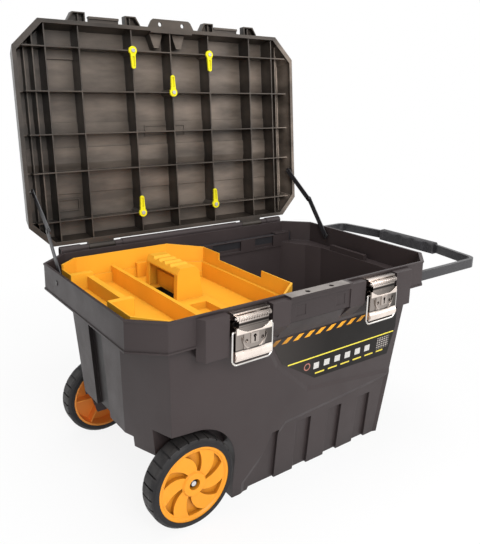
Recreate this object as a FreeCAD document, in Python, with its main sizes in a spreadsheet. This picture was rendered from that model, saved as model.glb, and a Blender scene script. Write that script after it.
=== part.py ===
# Plastic tool box on two wheels, with a deep ribbed lid, a lift-out tray, a pull handle that slides in
# along the box and two over-centre latches.
# Millimetres. The origin is on the floor under the middle of the box: X runs along the front towards
# the pull handle, Y to the hinges at the back and Z up. The lid stands open.

import FreeCAD, Part
import math
import operator
import os
import Sketcher
from FreeCAD import Placement, Rotation, Vector

SIZES = {
    # box: an upper skirt round the rim, and a narrower, tapered body below it
    "box_length": 690,
    "box_depth": 440,
    "rim_height": 390,
    "wall": 4,
    "floor_thick": 4,
    "skirt_height": 52,
    "bead_out": 1.5,
    "bead_height": 3,
    "lip_out": 1,
    "skirt_front_cut_x": 49.5,
    "skirt_front_cut_y": 44.4,
    "skirt_rear_cut_x": 53.7,
    "skirt_rear_cut_y": 48.6,
    "overhang_x": 24,
    "overhang_y": 15.5,
    "end_taper": 24,
    "front_taper": 28.5,
    "end_facet_run": 14,
    "end_facet_rise": 42,
    "left_facet_run": 21,
    "left_facet_slope": 2.79,
    "right_facet_run": 32,
    "right_facet_growth": 7,
    "right_facet_slope": 1.83,
    # wheels, and the arches, bay and webs round them
    "wheel_inset": 109,
    "tyre_radius": 81,
    "rim_radius": 67.5,
    "wheel_width": 40,
    "wheel_face_inset": 20,
    "axle_radius": 5,
    "shaft_clearance": 0.1,
    "arch_gap": 12,
    "arch_side_gap": 8,
    "arch_end_height": 188,
    "bay_height": 128,
    "bay_middle_height": 147,
    "bay_middle_width": 214,
    "web_thick": 6,
    "web_low": 58,
    "web_top_half": 46,
    "web_low_half": 24,
    "web_right_rise": 20,
    "hub_radius": 17,
    "hub_rim": 3,
    "hub_recess": 9,
    "rim_disc": 12,
    "rim_barrel": 4,
    "hub_mouth": 9,
    "swirl_count": 6,
    "swirl_depth": 8,
    "swirl_lean": 20,
    "swirl_inner_turn": 15,
    "swirl_outer_turn": 28,
    "tread_count": 26,
    "tread_depth": 2.5,
    "tread_width": 3,
    "rim_rib_thick": 2.5,
    "rim_rib_inset": 5,
    "cap_radius": 7,
    "cap_length": 5,
    # end groove, front panel and flutes
    "groove_width": 57,
    "groove_depth": 8,
    "recess_depth": 3,
    "recess_slope": 70,
    "backing_low": 2,
    "backing_left": 20,
    "panel_left": -115,
    "panel_right": 246,
    "panel_left_rise": 20,
    "panel_corner_x": -25,
    "panel_corner_z": 115,
    "panel_right_rise": 132,
    "label_bay_low": 180,
    "label_bay_left": -88,
    "label_bay_step_x": -60,
    "label_bay_step_drop": 50,
    "label_bay_foot_x": 20,
    "label_bay_right_drop": 47,
    "label_bay_gap": 1.5,
    "label_left": -82,
    "label_step_x": -50,
    "label_step_drop": 53,
    "label_foot_x": 36,
    "label_foot_rise": 4,
    "label_right_cut": 10,
    "label_right_lean": 4,
    "label_right_rise": 60,
    "panel_right_cut": 12,
    "flute_first": -64,
    "flute_pitch": 83,
    "flute_count": 4,
    "flute_width": 42,
    "flute_high": 108,
    "flute_depth": 9,
    "flute_slant": 12,
    "flute_first_low_x": -115,
    "flute_first_high_x": -62,
    # block along the front that carries the latches
    "block_out": 16,
    "block_half": 240,
    "block_chamfer": 8,
    "pad_drop": 74,
    "pad_top_drop": 4,
    "centre_half": 72,
    "centre_panel_depth": 2,
    "centre_panel_drop": 12,
    "centre_mark_near": 36,
    "centre_mark_far": 58,
    "centre_mark_rise": 9,
    "centre_mark_drop": 19,
    "centre_mark_depth": 0.7,
    "block_wall": 3,
    "flange_thick": 4,
    "column_drop": 48,
    "column_foot_drop": 79,
    "column_foot_out": 4,
    "apron_back": 7,
    "apron_height": 37,
    "apron_thick": 3,
    "centre_drop": 47,
    "flange_lip": 2,
    "latch_x": 153,
    "latch_recess_half": 43,
    "padlock_x": 28,
    "padlock_y_back": 8,
    "padlock_radius": 4.5,
    # curbs inside the rim, which carry the tray and guide the handle
    "curb_step": 3,
    "curb_thick": 4,
    "curb_drop": 28,
    "curb_half": 296,
    "window_first_near": 60,
    "window_first_far": 143,
    "window_second_near": 186,
    "window_second_far": 244,
    "arm_cover_near": 251,
    "arm_cover_thick": 2.5,
    "stop_bar_inset": 17,
    "stop_bar_width": 9,
    "stop_bar_front": 40,
    "stop_bar_rear": 70,
    "stop_bar_height": 13,
    "stop_bar_wall": 2.5,
    # pull handle
    "bar_thick": 8,
    "bar_height": 20,
    "slide_gap": 0.5,
    "arm_inner_end": -40,
    "handle_corner_x": 500,
    "handle_reach": 524,
    "handle_bend_y": 88,
    "corner_radius": 22,
    "grip_half": 82,
    "grip_size": 24,
    "grip_height": 28,
    "grip_waves": 4,
    "shoe_length": 34,
    # hinges
    "hinge_out": 16,
    "hinge_up": 1.3,
    "hinge_x": 200,
    "knuckle_radius": 7,
    "knuckle_width": 58,
    "lug_width": 18,
    "lug_drop": 30,
    "lug_shoulder_drop": 6,
    "lug_gap": 1,
    "pin_radius": 3,
    "open_angle": 95.4,
    "hood_radius": 8.5,
    "hood_thick": 2.5,
    "hood_drop": 10,
    # lid, drawn closed and measured from the hinge line
    "lid_over_ends": 3,
    "lid_over_front": 1,
    "lid_over_rear": 5.5,
    "lid_height": 47.7,
    "lid_wall": 3.5,
    "lid_inset": 10,
    "lid_front_cut": 53,
    "lid_rear_cut": 43,
    "seam_gap": 0.3,
    "rib_thick": 2.5,
    "rib_setback": 4,
    "rib_end_gap": 20,
    "rib_end_depth": 22,
    "border": 8,
    "border_thick": 3,
    "side_rib_x": 304,
    "side_rib_depth": 16,
    "side_step_x": 318,
    "side_step_depth": 28,
    "rib_outer_x": 283,
    "rib_side_x": 214,
    "clip_x": 97,
    "clip_middle_x": -3,
    "clip_front_inset": 51,
    "clip_middle_inset": 137,
    "rib_centre_inset": 222,
    "rib_low_v": 159,
    "step_low_v": 111,
    "step_low_thick": 2,
    "bevel_run": 16,
    "step_middle_v": 207,
    "step_high_v": 259,
    "step_high_thick": 5,
    "left_step_v": 386,
    "frame_rail": 2,
    "clip_rear_v": 59,
    "ear_out": 18,
    "ear_thick": 4,
    "post_inner_near": 74,
    "post_inner_far": 110.5,
    "post_outer_near": 198,
    "post_outer_far": 237,
    "post_lean": 12,
    "post_depth": 16,
    "post_wall": 2.5,
    "tab_root_thick": 7,
    "tab_half": 55,
    "catch_half": 33,
    "catch_out": 13,
    "catch_height": 18.4,
    # tool clips in the lid
    "clip_head_radius": 9,
    "clip_length": 33,
    "clip_thick": 4.5,
    "screw_radius": 2,
    "screw_head_radius": 4.2,
    "clip_screw_depth": 14,
    # folding stays
    "stay_body_run": 131,
    "stay_body_drop": 21,
    "stay_elbow_run": 66,
    "stay_elbow_rise": 62,
    "stay_lid_v": 124,
    "stay_lid_w": 6,
    "stay_width": 13,
    "stay_thick": 2,
    "stay_gap": 1,
    "stay_pin_radius": 2.5,
    # latches
    "latch_half": 36,
    "latch_out": 3,
    "latch_pin_drop": 12.5,
    "latch_pin_radius": 1.8,
    "latch_knuckle": 4.6,
    "knuckle_half": 29.5,
    "knuckle_groove_pitch": 5,
    "knuckle_groove_count": 11,
    "cheek_inside": 30.3,
    "cheek_outside": 34,
    "plate_drop": 48,
    "plate_thick": 3,
    "shelf_drop": 4.5,
    "lever_length": 70.5,
    "lever_plate": 3,
    "lever_shoulder": 14,
    "lever_pad_out": 1.2,
    "lever_pad_half": 21,
    "lever_roll_radius": 9,
    "keyhole_radius": 3,
    "rivet_radius": 2.4,
    "rivet_drop": 28,
    "rivet_x": 24,
    "bail_drop": 21.5,
    "bail_length": 56,
    "bail_half": 39.8,
    "bail_radius": 1.7,
    # tray
    "tray_end_gap": 29,
    "tray_right": 5,
    "tray_side_gap": 7.5,
    "tray_drop": 13,
    "tray_depth": 55,
    "tray_wall": 2.5,
    "tray_step": 12,
    "tray_rear_rise": 9,
    "tray_front_left_cut": 43,
    "tray_front_left_side": 53,
    "tray_front_right_cut": 50,
    "tray_front_right_side": 39,
    "tray_rear_right_cut": 72,
    "tray_rear_right_side": 37,
    "tray_rear_left_cut": 37,
    "tray_rear_left_side": 32,
    "tray_lug_left": -270,
    "tray_lug_right": -60,
    "pan_left": -84,
    "pan_front": 144,
    "pan_rear": 146,
    "pan_drop": 14,
    "divider_x": -197,
    "divider_thick": 8,
    "divider_drop": 19,
    "trough_outer_drop": 15,
    "trough_inner_drop": 7,
    "trough_run": 32,
    "trough_wall": 12,
    "trough_front": 52,
    "trough_rear": 110,
    "dip_front": 60,
    "dip_rear": 88,
    "dip_drop": 15,
    "bulge_left": -207,
    "bulge_right": -55,
    "pocket_left": -143,
    "pocket_right": -99,
    "pocket_front": 78,
    "pocket_rear": 21,
    "post_left": -146,
    "post_right": -122,
    "post_drop": 21,
    "arch_x": -121,
    "arch_y": 67.5,
    "arch_length": 125,
    "arch_foot_left": 29,
    "arch_foot_right": 30,
    "arch_shoulder_left": 27,
    "arch_shoulder_right": 22,
    "arch_top_left": 21,
    "arch_top_right": 14,
    "arch_left_fall": 12,
    "arch_right_fall": 10,
    "arch_cap": 6,
    "arch_leg": 12,
    "arch_grip": 15,
    "arch_rise": 11,
    "arch_rail_drop": 32,
    "rail_left": 9,
    "rail_right": 26,
    "floor_slot_left": 27,
    "floor_slot_right": 9,
    "floor_slot_front": 8,
    "floor_slot_rear": 15,
    "finger_count": 4,
    "finger_first": 29,
    "finger_pitch": 22,
    "finger_rise": 6,
    "finger_radius": 10.5,
    # label
    "label_thick": 0.6,
    "label_right": 252,
    "label_drop": 38,
    "label_height": 110,
}

ARITHMETIC = {"+": operator.add, "-": operator.sub, "*": operator.mul, "/": operator.truediv}
PLANES = {"z": Rotation(), "y": Rotation(Vector(1, 0, 0), 90), "x": Rotation(Vector(1, 1, 1), 120)}
TURNS = {"z": Rotation(), "y": Rotation(Vector(1, 0, 0), -90), "x": Rotation(Vector(0, 1, 0), 90)}


class Size:
    """A size and the expression that ties it to the spreadsheet."""

    def __init__(self, value, text):
        self.value = float(value)
        self.text = text

    def __add__(self, other):
        return join(self, "+", other)

    def __radd__(self, other):
        return join(other, "+", self)

    def __sub__(self, other):
        return join(self, "-", other)

    def __rsub__(self, other):
        return join(other, "-", self)

    def __mul__(self, other):
        return join(self, "*", other)

    def __rmul__(self, other):
        return join(other, "*", self)

    def __truediv__(self, other):
        return join(self, "/", other)

    def __neg__(self):
        return join(-1, "*", self)

    def __lt__(self, other):
        return self.value < sized(other).value


def sized(item):
    """Any number as a Size."""
    return item if isinstance(item, Size) else Size(item, "%.9g" % item)


def join(first, sign, second):
    first, second = sized(first), sized(second)
    value = ARITHMETIC[sign](first.value, second.value)
    return Size(value, "(%s %s %s)" % (first.text, sign, second.text))


def distance(run, rise):
    run, rise = sized(run), sized(rise)
    return Size(math.hypot(run.value, rise.value), "hypot(%s; %s)" % (run.text, rise.text))


def slope_angle(rise, run):
    """The angle, in degrees, of a line that climbs by rise over run."""
    run, rise = sized(run), sized(rise)
    value = math.degrees(math.atan2(rise.value, run.value))
    return Size(value, "atan2(%s; %s)" % (rise.text, run.text))


def cosine(angle):
    return Size(math.cos(math.radians(angle.value)), "cos(%s)" % angle.text)


def sine(angle):
    return Size(math.sin(math.radians(angle.value)), "sin(%s)" % angle.text)


class Names:
    """The sizes in the spreadsheet, each by its name."""


doc = FreeCAD.newDocument("ToolBox")
sheet = doc.addObject("Spreadsheet::Sheet", "Sizes")
s = Names()
for row, (alias, number) in enumerate(SIZES.items(), 1):
    sheet.set("A%d" % row, alias)
    sheet.set("B%d" % row, str(number))
    sheet.setAlias("B%d" % row, alias)
    setattr(s, alias, Size(number, "Sizes." + alias))
doc.recompute()
kept = []


def bind(thing, where, item):
    thing.setExpression(where, sized(item).text)


def ordered(pair):
    return pair if sized(pair[0]) < pair[1] else (pair[1], pair[0])


def block(name, x, y, z):
    """A box between two places on each axis."""
    box = doc.addObject("Part::Box", name)
    for axis, edge, places in zip("xyz", ("Length", "Width", "Height"), (x, y, z)):
        low, high = ordered(places)
        bind(box, "Placement.Base." + axis, low)
        bind(box, edge, high - low)
    return box


def rod(name, axis, centre, radius, ends):
    """A cylinder along an axis; centre is its place on the other two, in the order of their names."""
    cylinder = doc.addObject("Part::Cylinder", name)
    cylinder.Placement = Placement(Vector(), TURNS[axis])
    low, high = ordered(ends)
    bind(cylinder, "Radius", radius)
    bind(cylinder, "Height", high - low)
    bind(cylinder, "Placement.Base." + axis, low)
    for letter, place in zip("xyz".replace(axis, ""), centre):
        bind(cylinder, "Placement.Base." + letter, place)
    return cylinder


def draw(sketch, points):
    """A closed outline with straight sides, each corner tied to its sizes."""
    corners = [(sized(a), sized(b)) for a, b in points]
    ends = [Vector(a.value, b.value, 0) for a, b in corners]
    after = ends[1:] + ends[:1]
    sketch.addGeometry([Part.LineSegment(p, q) for p, q in zip(ends, after)], False)
    count = len(ends)
    rules = [Sketcher.Constraint("Coincident", n, 2, (n + 1) % count, 1) for n in range(count)]
    for n, (a, b) in enumerate(corners):
        rules.append(Sketcher.Constraint("DistanceX", -1, 1, n, 1, a.value))
        rules.append(Sketcher.Constraint("DistanceY", -1, 1, n, 1, b.value))
    sketch.addConstraint(rules)
    for n, corner in enumerate(corners):
        for part, item in enumerate(corner):
            if "Sizes" in item.text:
                bind(sketch, "Constraints[%d]" % (count + 2 * n + part), item)


def outline(name, axis, points, place):
    """A sketch square to an axis: its own axes are X Y, X Z or Y Z of the box."""
    sketch = doc.addObject("Sketcher::SketchObject", name)
    sketch.Placement = Placement(Vector(), PLANES[axis])
    draw(sketch, points)
    bind(sketch, "Placement.Base." + axis, place)
    return sketch


def prism(name, axis, points, ends):
    """A solid with one straight-sided outline all along an axis."""
    low, high = ordered(ends)
    start = high if axis == "y" else low
    solid = doc.addObject("Part::Extrusion", name)
    solid.Base = outline(name + "_outline", axis, points, start)
    solid.DirMode = "Normal"
    solid.Solid = True
    bind(solid, "LengthFwd", high - low)
    return solid


def loft(name, low_points, low, high_points, high):
    """A solid that runs straight from a plan outline to another one above it."""
    solid = doc.addObject("Part::Loft", name)
    solid.Sections = [
        outline(name + "_low", "z", low_points, low),
        outline(name + "_high", "z", high_points, high),
    ]
    solid.Solid = True
    solid.Ruled = True
    return solid


def fuse(name, pieces):
    joined = doc.addObject("Part::MultiFuse", name)
    joined.Shapes = pieces
    joined.Refine = True
    return joined


def cut(name, base, tools):
    result = doc.addObject("Part::Cut", name)
    result.Base = base
    result.Tool = tools[0] if len(tools) == 1 else fuse(name + "_cuts", tools)
    result.Refine = True
    return result


def common(name, first, second):
    result = doc.addObject("Part::Common", name)
    result.Base = first
    result.Tool = second
    return result


def keep(thing, label):
    """Marks a finished sub-part, which is written out under its label."""
    thing.Label = label
    kept.append(thing)
    return thing


def on_lid(thing):
    """Turns a piece drawn on the closed lid, from the hinge line, to the open lid."""
    thing.Placement = Placement(Vector(), Rotation(Vector(1, 0, 0), -1))
    bind(thing, "Placement.Base.y", hinge_y)
    bind(thing, "Placement.Base.z", hinge_z)
    bind(thing, "Placement.Rotation.Angle", -s.open_angle)
    return thing


def mirrored(low, high):
    """The same stretch on both sides of the middle: left or front first."""
    return [(-high, -low), (low, high)]


def turned_body(label, points, centre):
    """A body turned about the Y axis; points are pairs of place along the axis and radius."""
    body = doc.addObject("PartDesign::Body", label)
    sketch = body.newObject("Sketcher::SketchObject", label + "_profile")
    sketch.AttachmentSupport = [(origin_part(body, "YZ_Plane"), "")]
    sketch.MapMode = "FlatFace"
    draw(sketch, points)
    turned = body.newObject("PartDesign::Revolution", label + "_turned")
    turned.Profile = sketch
    turned.ReferenceAxis = (sketch, ["H_Axis"])
    turned.Angle = 360
    for axis, place in zip("xyz", centre):
        bind(body, "Placement.Base." + axis, place)
    return body


def origin_part(body, role):
    return [item for item in body.Origin.OriginFeatures if item.Role == role][0]


def join_ends(sketch, count):
    """Ties each curve of a closed outline to the next one, whichever way round it was drawn."""
    for first in range(count):
        second = (first + 1) % count
        for ends in ((2, 1), (1, 1), (2, 2), (1, 2)):
            gap = sketch.getPoint(first, ends[0]).distanceToPoint(sketch.getPoint(second, ends[1]))
            if gap < 0.000001:
                sketch.addConstraint(Sketcher.Constraint("Coincident", first, ends[0], second, ends[1]))
                break


def repeat_round(body, kind, name, curves, face, depth, count):
    """Cuts or adds a closed outline from y = -face on, and repeats it round the Y axis."""
    sketch = body.newObject("Sketcher::SketchObject", name + "_outline")
    sketch.AttachmentSupport = [(origin_part(body, "XZ_Plane"), "")]
    sketch.MapMode = "FlatFace"
    bind(sketch, "AttachmentOffset.Base.z", face)
    sketch.addGeometry(curves, False)
    join_ends(sketch, len(curves))
    feature = body.newObject("PartDesign::" + kind, name)
    feature.Profile = sketch
    feature.Reversed = kind == "Pad"
    bind(feature, "Length", depth)
    pattern = body.newObject("PartDesign::PolarPattern", name + "_ring")
    pattern.Originals = [feature]
    pattern.Axis = (origin_part(body, "Y_Axis"), [""])
    pattern.Angle = 360
    bind(pattern, "Occurrences", count)
    body.Tip = pattern


# Places that several pieces share
half_length = s.box_length / 2
half_depth = s.box_depth / 2
skirt_low = s.rim_height - s.skirt_height
ledge = skirt_low + s.wall
body_end = half_length - s.overhang_x
body_front = half_depth - s.overhang_y
wheel_x = -half_length + s.wheel_inset
wheel_z = s.tyre_radius
wheel_face = half_depth - s.wheel_face_inset
arch_radius = s.tyre_radius + s.arch_gap
arch_wall = wheel_face - s.wheel_width - s.arch_side_gap
bay_right = wheel_x + arch_radius
block_front = half_depth + s.block_out
pad_low = s.rim_height - s.pad_drop
pad_high = s.rim_height - s.pad_top_drop
centre_low = s.rim_height - s.centre_drop
curb_top = s.rim_height - s.curb_drop
curb_inside = body_front - s.wall - s.curb_step
curb_outside = curb_inside + s.curb_thick
arm_inside = curb_outside + s.slide_gap
arm_outside = arm_inside + s.bar_thick
bar_low = ledge + s.seam_gap
bar_high = bar_low + s.bar_height
hinge_y = half_depth + s.hinge_out
hinge_z = s.rim_height + s.hinge_up
latch_pin_z = s.rim_height - s.latch_pin_drop
lever_low = latch_pin_z - s.lever_length
plate_low = s.rim_height - s.plate_drop
shelf_high = s.rim_height - s.shelf_drop
shelf_low = shelf_high - s.plate_thick
rivet_z = s.rim_height - s.rivet_drop
stay_body_y = hinge_y - s.stay_body_run
stay_body_z = s.rim_height - s.stay_body_drop
label_top = skirt_low - s.label_drop
label_low = label_top - s.label_height
hinge_pin_half = s.knuckle_width / 2 + s.lug_gap + s.lug_width + 2
beyond = half_length + 60


def eight_sided(half_x, front, rear, front_cut, rear_cut):
    """Plan outline of a box with cut corners."""
    return [
        (-half_x + front_cut[0], front),
        (half_x - front_cut[0], front),
        (half_x, front + front_cut[1]),
        (half_x, rear - rear_cut[1]),
        (half_x - rear_cut[0], rear),
        (-half_x + rear_cut[0], rear),
        (-half_x, rear - rear_cut[1]),
        (-half_x, front + front_cut[1]),
    ]


def skirt_outline(inset):
    return eight_sided(
        half_length - inset,
        -half_depth + inset,
        half_depth - inset,
        (s.skirt_front_cut_x, s.skirt_front_cut_y),
        (s.skirt_rear_cut_x, s.skirt_rear_cut_y),
    )


def body_outline(height, inset):
    """Plan outline of the tapered lower body at a height; the inset leaves the wall."""
    fall = 1 - sized(height) / skirt_low
    end = body_end - s.end_taper * fall - inset
    front = body_front - s.front_taper * fall - inset
    middle = end - s.end_facet_run
    right_run = s.right_facet_run + s.right_facet_growth * fall
    left_high = front - s.left_facet_run * s.left_facet_slope
    right_high = front - right_run * s.right_facet_slope
    quarter_right = [
        (middle - right_run, front),
        (middle, right_high),
        (end, right_high - s.end_facet_rise),
    ]
    quarter_left = [
        (-end, left_high - s.end_facet_rise),
        (-middle, left_high),
        (-middle + s.left_facet_run, front),
    ]
    front_half = [(x, -y) for x, y in quarter_left + quarter_right]
    rear_half = [(x, y) for x, y in reversed(quarter_left + quarter_right)]
    return front_half + rear_half


def wheel_space(name, grow):
    """The room cut out for the wheels and the bay between them; grow adds the wall round it."""
    pieces = []
    side_view = [
        (-beyond, -20),
        (bay_right + grow, -20),
        (bay_right + grow, wheel_z),
        (wheel_x, wheel_z),
        (wheel_x, wheel_z + arch_radius + grow),
        (-beyond, s.arch_end_height + grow),
    ]
    for ends in mirrored(arch_wall - grow, half_depth + 40):
        pieces.append(prism(name + "_side", "y", side_view, ends))
        pieces.append(rod(name + "_arch", "y", (wheel_x, wheel_z), arch_radius + grow, ends))
    low_bay = [(-arch_wall - 1, arch_wall + 1), (-20, s.bay_height + grow)]
    pieces.append(block(name + "_bay", (-beyond, bay_right + grow), *low_bay))
    half = s.bay_middle_width / 2 + grow
    top_z = (20, s.bay_middle_height + grow)
    pieces.append(block(name + "_bay_top", (-beyond, bay_right + grow), (-half, half), top_z))
    return fuse(name, pieces)


def front_slant(height):
    """Where the sloped front of the lower body is at a height, as a distance from the middle."""
    return body_front - s.front_taper * (1 - sized(height) / skirt_low)


def end_slant(height):
    return body_end - s.end_taper * (1 - sized(height) / skirt_low)


# Tub
def tub_shell():
    outside = fuse(
        "tub_outside",
        [
            loft("belly", body_outline(0, 0), 0, body_outline(skirt_low, 0), skirt_low),
            prism("skirt", "z", skirt_outline(0), (skirt_low, s.rim_height)),
            prism("bead", "z", skirt_outline(-s.bead_out), (skirt_low, skirt_low + s.bead_height)),
            prism("lip", "z", skirt_outline(-s.lip_out), (s.rim_height - s.bead_height, s.rim_height)),
        ],
    )
    body = cut("tub_body", outside, [wheel_space("wheel_space", 0)])
    low = s.floor_thick
    belly_room = loft("belly_room", body_outline(low, s.wall), low, body_outline(ledge, s.wall), ledge)
    skirt_room = prism("skirt_room", "z", skirt_outline(s.wall), (ledge, s.rim_height + 10))
    room = fuse("tub_room_whole", [belly_room, skirt_room])
    return cut("tub_shell", body, [cut("tub_room", room, [wheel_space("wheel_space_inside", s.wall)])])


def front_corner(height):
    """Where the sloped front ends on the right at a height."""
    fall = 1 - sized(height) / skirt_low
    right_run = s.right_facet_run + s.right_facet_growth * fall
    return end_slant(height) - s.end_facet_run - right_run


def front_backing():
    """Extra wall behind the recesses of the sloped front."""
    low, high = s.backing_low, pad_low - 2

    def plan(height):
        near, far = s.wall - 0.5 - front_slant(height), s.wall + s.recess_depth - front_slant(height)
        left, right = s.panel_left - s.backing_left, front_corner(height) - 1
        return [(left, near), (right, near), (right, far), (left, far)]

    return loft("front_backing", plan(low), low, plan(high), high)


def flute(name, n, low, start, grow):
    """A flute in the sloped front, with a slanted left side; grow adds the wall round it."""
    right = s.flute_first + s.flute_pitch * n + s.flute_width / 2 + grow
    left = right - s.flute_width - grow * 2
    lefts = (left, left) if n else (s.flute_first_low_x - grow, s.flute_first_high_x - grow)
    high = s.flute_high + grow

    def plan(height, left):
        face = -front_slant(height)
        back = face + s.flute_depth + grow
        return [(left, face + start), (right, face + start), (right, back), (left + s.flute_slant, back)]

    return loft(name, plan(low, lefts[0]), low, plan(high, lefts[1]), high)


def front_recess(name, points):
    """A shallow room in the sloped front with bevelled sides; points are places along it and up it."""
    body = doc.addObject("PartDesign::Body", name)
    sketch = body.newObject("Sketcher::SketchObject", name + "_outline")
    sketch.AttachmentSupport = [(origin_part(body, "XZ_Plane"), "")]
    sketch.MapMode = "FlatFace"
    draw(sketch, points)
    pad = body.newObject("PartDesign::Pad", name + "_pad")
    pad.Profile = sketch
    bind(pad, "Length", s.recess_depth)
    bind(pad, "TaperAngle", s.recess_slope)
    lie_on_front(body, s.recess_depth)
    return body


def lie_on_front(body, depth):
    """Leans an upright body on the sloped front, a depth behind its face."""
    body.Placement = Placement(Vector(), Rotation(Vector(1, 0, 0), 1))
    bind(body, "Placement.Base.y", depth - front_slant(0))
    bind(body, "Placement.Rotation.Angle", slope_angle(s.front_taper, skirt_low))


def tub_fittings():
    pieces = []
    # webs that hold the axle
    web_top = s.bay_height + 3
    web_view = [
        (wheel_x - s.web_top_half, web_top),
        (wheel_x - s.web_low_half, s.web_low),
        (wheel_x + s.web_low_half, s.web_low),
        (bay_right + 2, s.bay_height - s.web_right_rise),
        (bay_right + 2, web_top),
    ]
    for ends in mirrored(arch_wall - s.web_thick, arch_wall):
        pieces.append(prism("axle_web", "y", web_view, ends))
    # latch pads, their lower halves down on the sloped front, and the centre block with its flange
    inner = s.latch_x - s.latch_recess_half
    outer = s.latch_x + s.latch_recess_half
    pad_view = [
        (-block_front, pad_low),
        (-front_slant(pad_low) + s.wall / 2, pad_low),
        (-front_slant(skirt_low) + s.wall / 2, skirt_low + 1),
        (-half_depth + s.wall / 2, skirt_low + 1),
        (-half_depth + s.wall / 2, pad_high),
        (-block_front, pad_high),
    ]
    column_low = s.rim_height - s.column_drop
    foot = s.rim_height - s.column_foot_drop
    column_view = [
        (-block_front, column_low),
        (-front_slant(foot) - s.column_foot_out, foot),
        (-front_slant(foot) + s.wall / 2, foot),
    ] + pad_view[2:]
    for x in mirrored(s.centre_half, inner):
        pieces.append(prism("column", "x", column_view, x))
    for x in mirrored(outer, s.block_half):
        pieces.append(prism("pad", "x", pad_view, x))
    for side in (-1, 1):
        wedge = [
            (side * (s.block_half - 1), -block_front),
            (side * s.block_half, -block_front),
            (side * (s.block_half + s.block_chamfer), -half_depth),
            (side * (s.block_half - 1), -half_depth + 1),
        ]
        pieces.append(prism("pad_wedge", "z", wedge, (pad_low, pad_high)))
    centre = (-s.centre_half - 1, s.centre_half + 1)
    pieces.append(block("centre_block", centre, (-block_front, -half_depth + 1), (centre_low, s.rim_height)))
    apron_low = centre_low - s.apron_height
    apron_view = [
        (-block_front + s.apron_back, centre_low + 1),
        (-front_slant(apron_low) - s.apron_thick, apron_low),
        (-front_slant(apron_low) - s.apron_thick, apron_low + s.apron_thick * 1.5),
        (-block_front + s.apron_back + s.apron_thick, centre_low + 1),
    ]
    pieces.append(prism("apron", "x", apron_view, centre))
    lip = block_front + s.flange_lip
    flange_z = (s.rim_height - s.flange_thick, s.rim_height)
    pieces.append(block("flange", centre, (-lip, -half_depth + 1), flange_z))
    # curbs along the front and the back, with the covers that keep the handle arms down
    for y in mirrored(curb_inside, curb_outside):
        pieces.append(block("curb", (-s.curb_half, s.curb_half), y, (skirt_low - 8, curb_top)))
    cover_low = bar_high + s.slide_gap
    for y in mirrored(curb_inside, half_depth - s.wall + 1):
        cover_z = (cover_low, cover_low + s.arm_cover_thick)
        pieces.append(block("arm_cover", (s.arm_cover_near, s.curb_half), y, cover_z))
    # wall behind the end groove, the flutes and the front panel
    low_z = s.bay_middle_height + s.wall / 2
    groove_view = [
        (-end_slant(low_z) + 1, low_z),
        (-end_slant(low_z) + s.groove_depth + s.wall, low_z),
        (-end_slant(skirt_low) + s.groove_depth + s.wall, ledge),
        (-end_slant(skirt_low) + 1, ledge),
    ]
    half = s.groove_width / 2 + s.wall
    pieces.append(prism("groove_wall", "y", groove_view, (-half, half)))
    pieces.append(front_backing())
    for n in range(SIZES["flute_count"]):
        pieces.append(flute("flute_wall", n, 0, s.wall - 0.5, s.wall))
    # stop bar on the ledge inside the right end
    bar_x = (half_length - s.stop_bar_inset - s.stop_bar_width, half_length - s.stop_bar_inset)
    bar_z = (ledge - 1, ledge + s.stop_bar_height)
    pieces.append(block("stop_bar", bar_x, (-s.stop_bar_front, s.stop_bar_rear), bar_z))
    # hinge lugs, and the hood along the hinge line between and outside them
    near = s.knuckle_width / 2 + s.lug_gap
    for ends in hood_stretches():
        pieces += hood(ends)
    lug_view = [
        (half_depth - 1, s.rim_height - s.lug_drop),
        (half_depth - 1, s.rim_height - s.lug_shoulder_drop),
        (hinge_y - s.knuckle_radius * 0.9, hinge_z - 2.5),
        (hinge_y, hinge_z + 1),
        (hinge_y + s.knuckle_radius, hinge_z),
        (hinge_y + s.knuckle_radius * 0.9, hinge_z - 3),
        (half_depth + 4, s.rim_height - s.lug_drop),
    ]
    for side in (-1, 1):
        for low, high in mirrored(near, near + s.lug_width):
            ends = (side * s.hinge_x + low, side * s.hinge_x + high)
            pieces.append(prism("lug", "x", lug_view, ends))
            pieces.append(rod("lug_round", "x", (hinge_y, hinge_z), s.knuckle_radius, ends))
    return pieces


def hood_stretches():
    """The stretches of the hinge line that the hood covers."""
    reach = s.knuckle_width / 2 + s.lug_gap + s.lug_width - 1
    middle = s.hinge_x - reach
    return [(-middle, middle)] + mirrored(s.hinge_x + reach, half_length - s.skirt_rear_cut_x - 1)


def hood(ends):
    """A half-round cover over the hinge line, held to the rear wall by a flat web."""
    inner = s.hood_radius - s.hood_thick
    low = s.rim_height - s.hood_drop
    round_cover = rod("hood_round", "x", (hinge_y, hinge_z), s.hood_radius, ends)
    skirt = block("hood_skirt", ends, (hinge_y - s.hood_radius, hinge_y + s.hood_radius), (low, hinge_z))
    wide = (ordered(ends)[0] - 1, ordered(ends)[1] + 1)
    hollow = [
        rod("hood_room", "x", (hinge_y, hinge_z), inner, wide),
        block("hood_gap", wide, (hinge_y - inner, hinge_y + inner), (low - 1, hinge_z)),
    ]
    cover = cut("hood", fuse("hood_whole", [round_cover, skirt]), hollow)
    web = block("hood_web", ends, (half_depth - 1, hinge_y - inner - 1), (low, low + s.hood_thick))
    return [cover, web]


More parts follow.
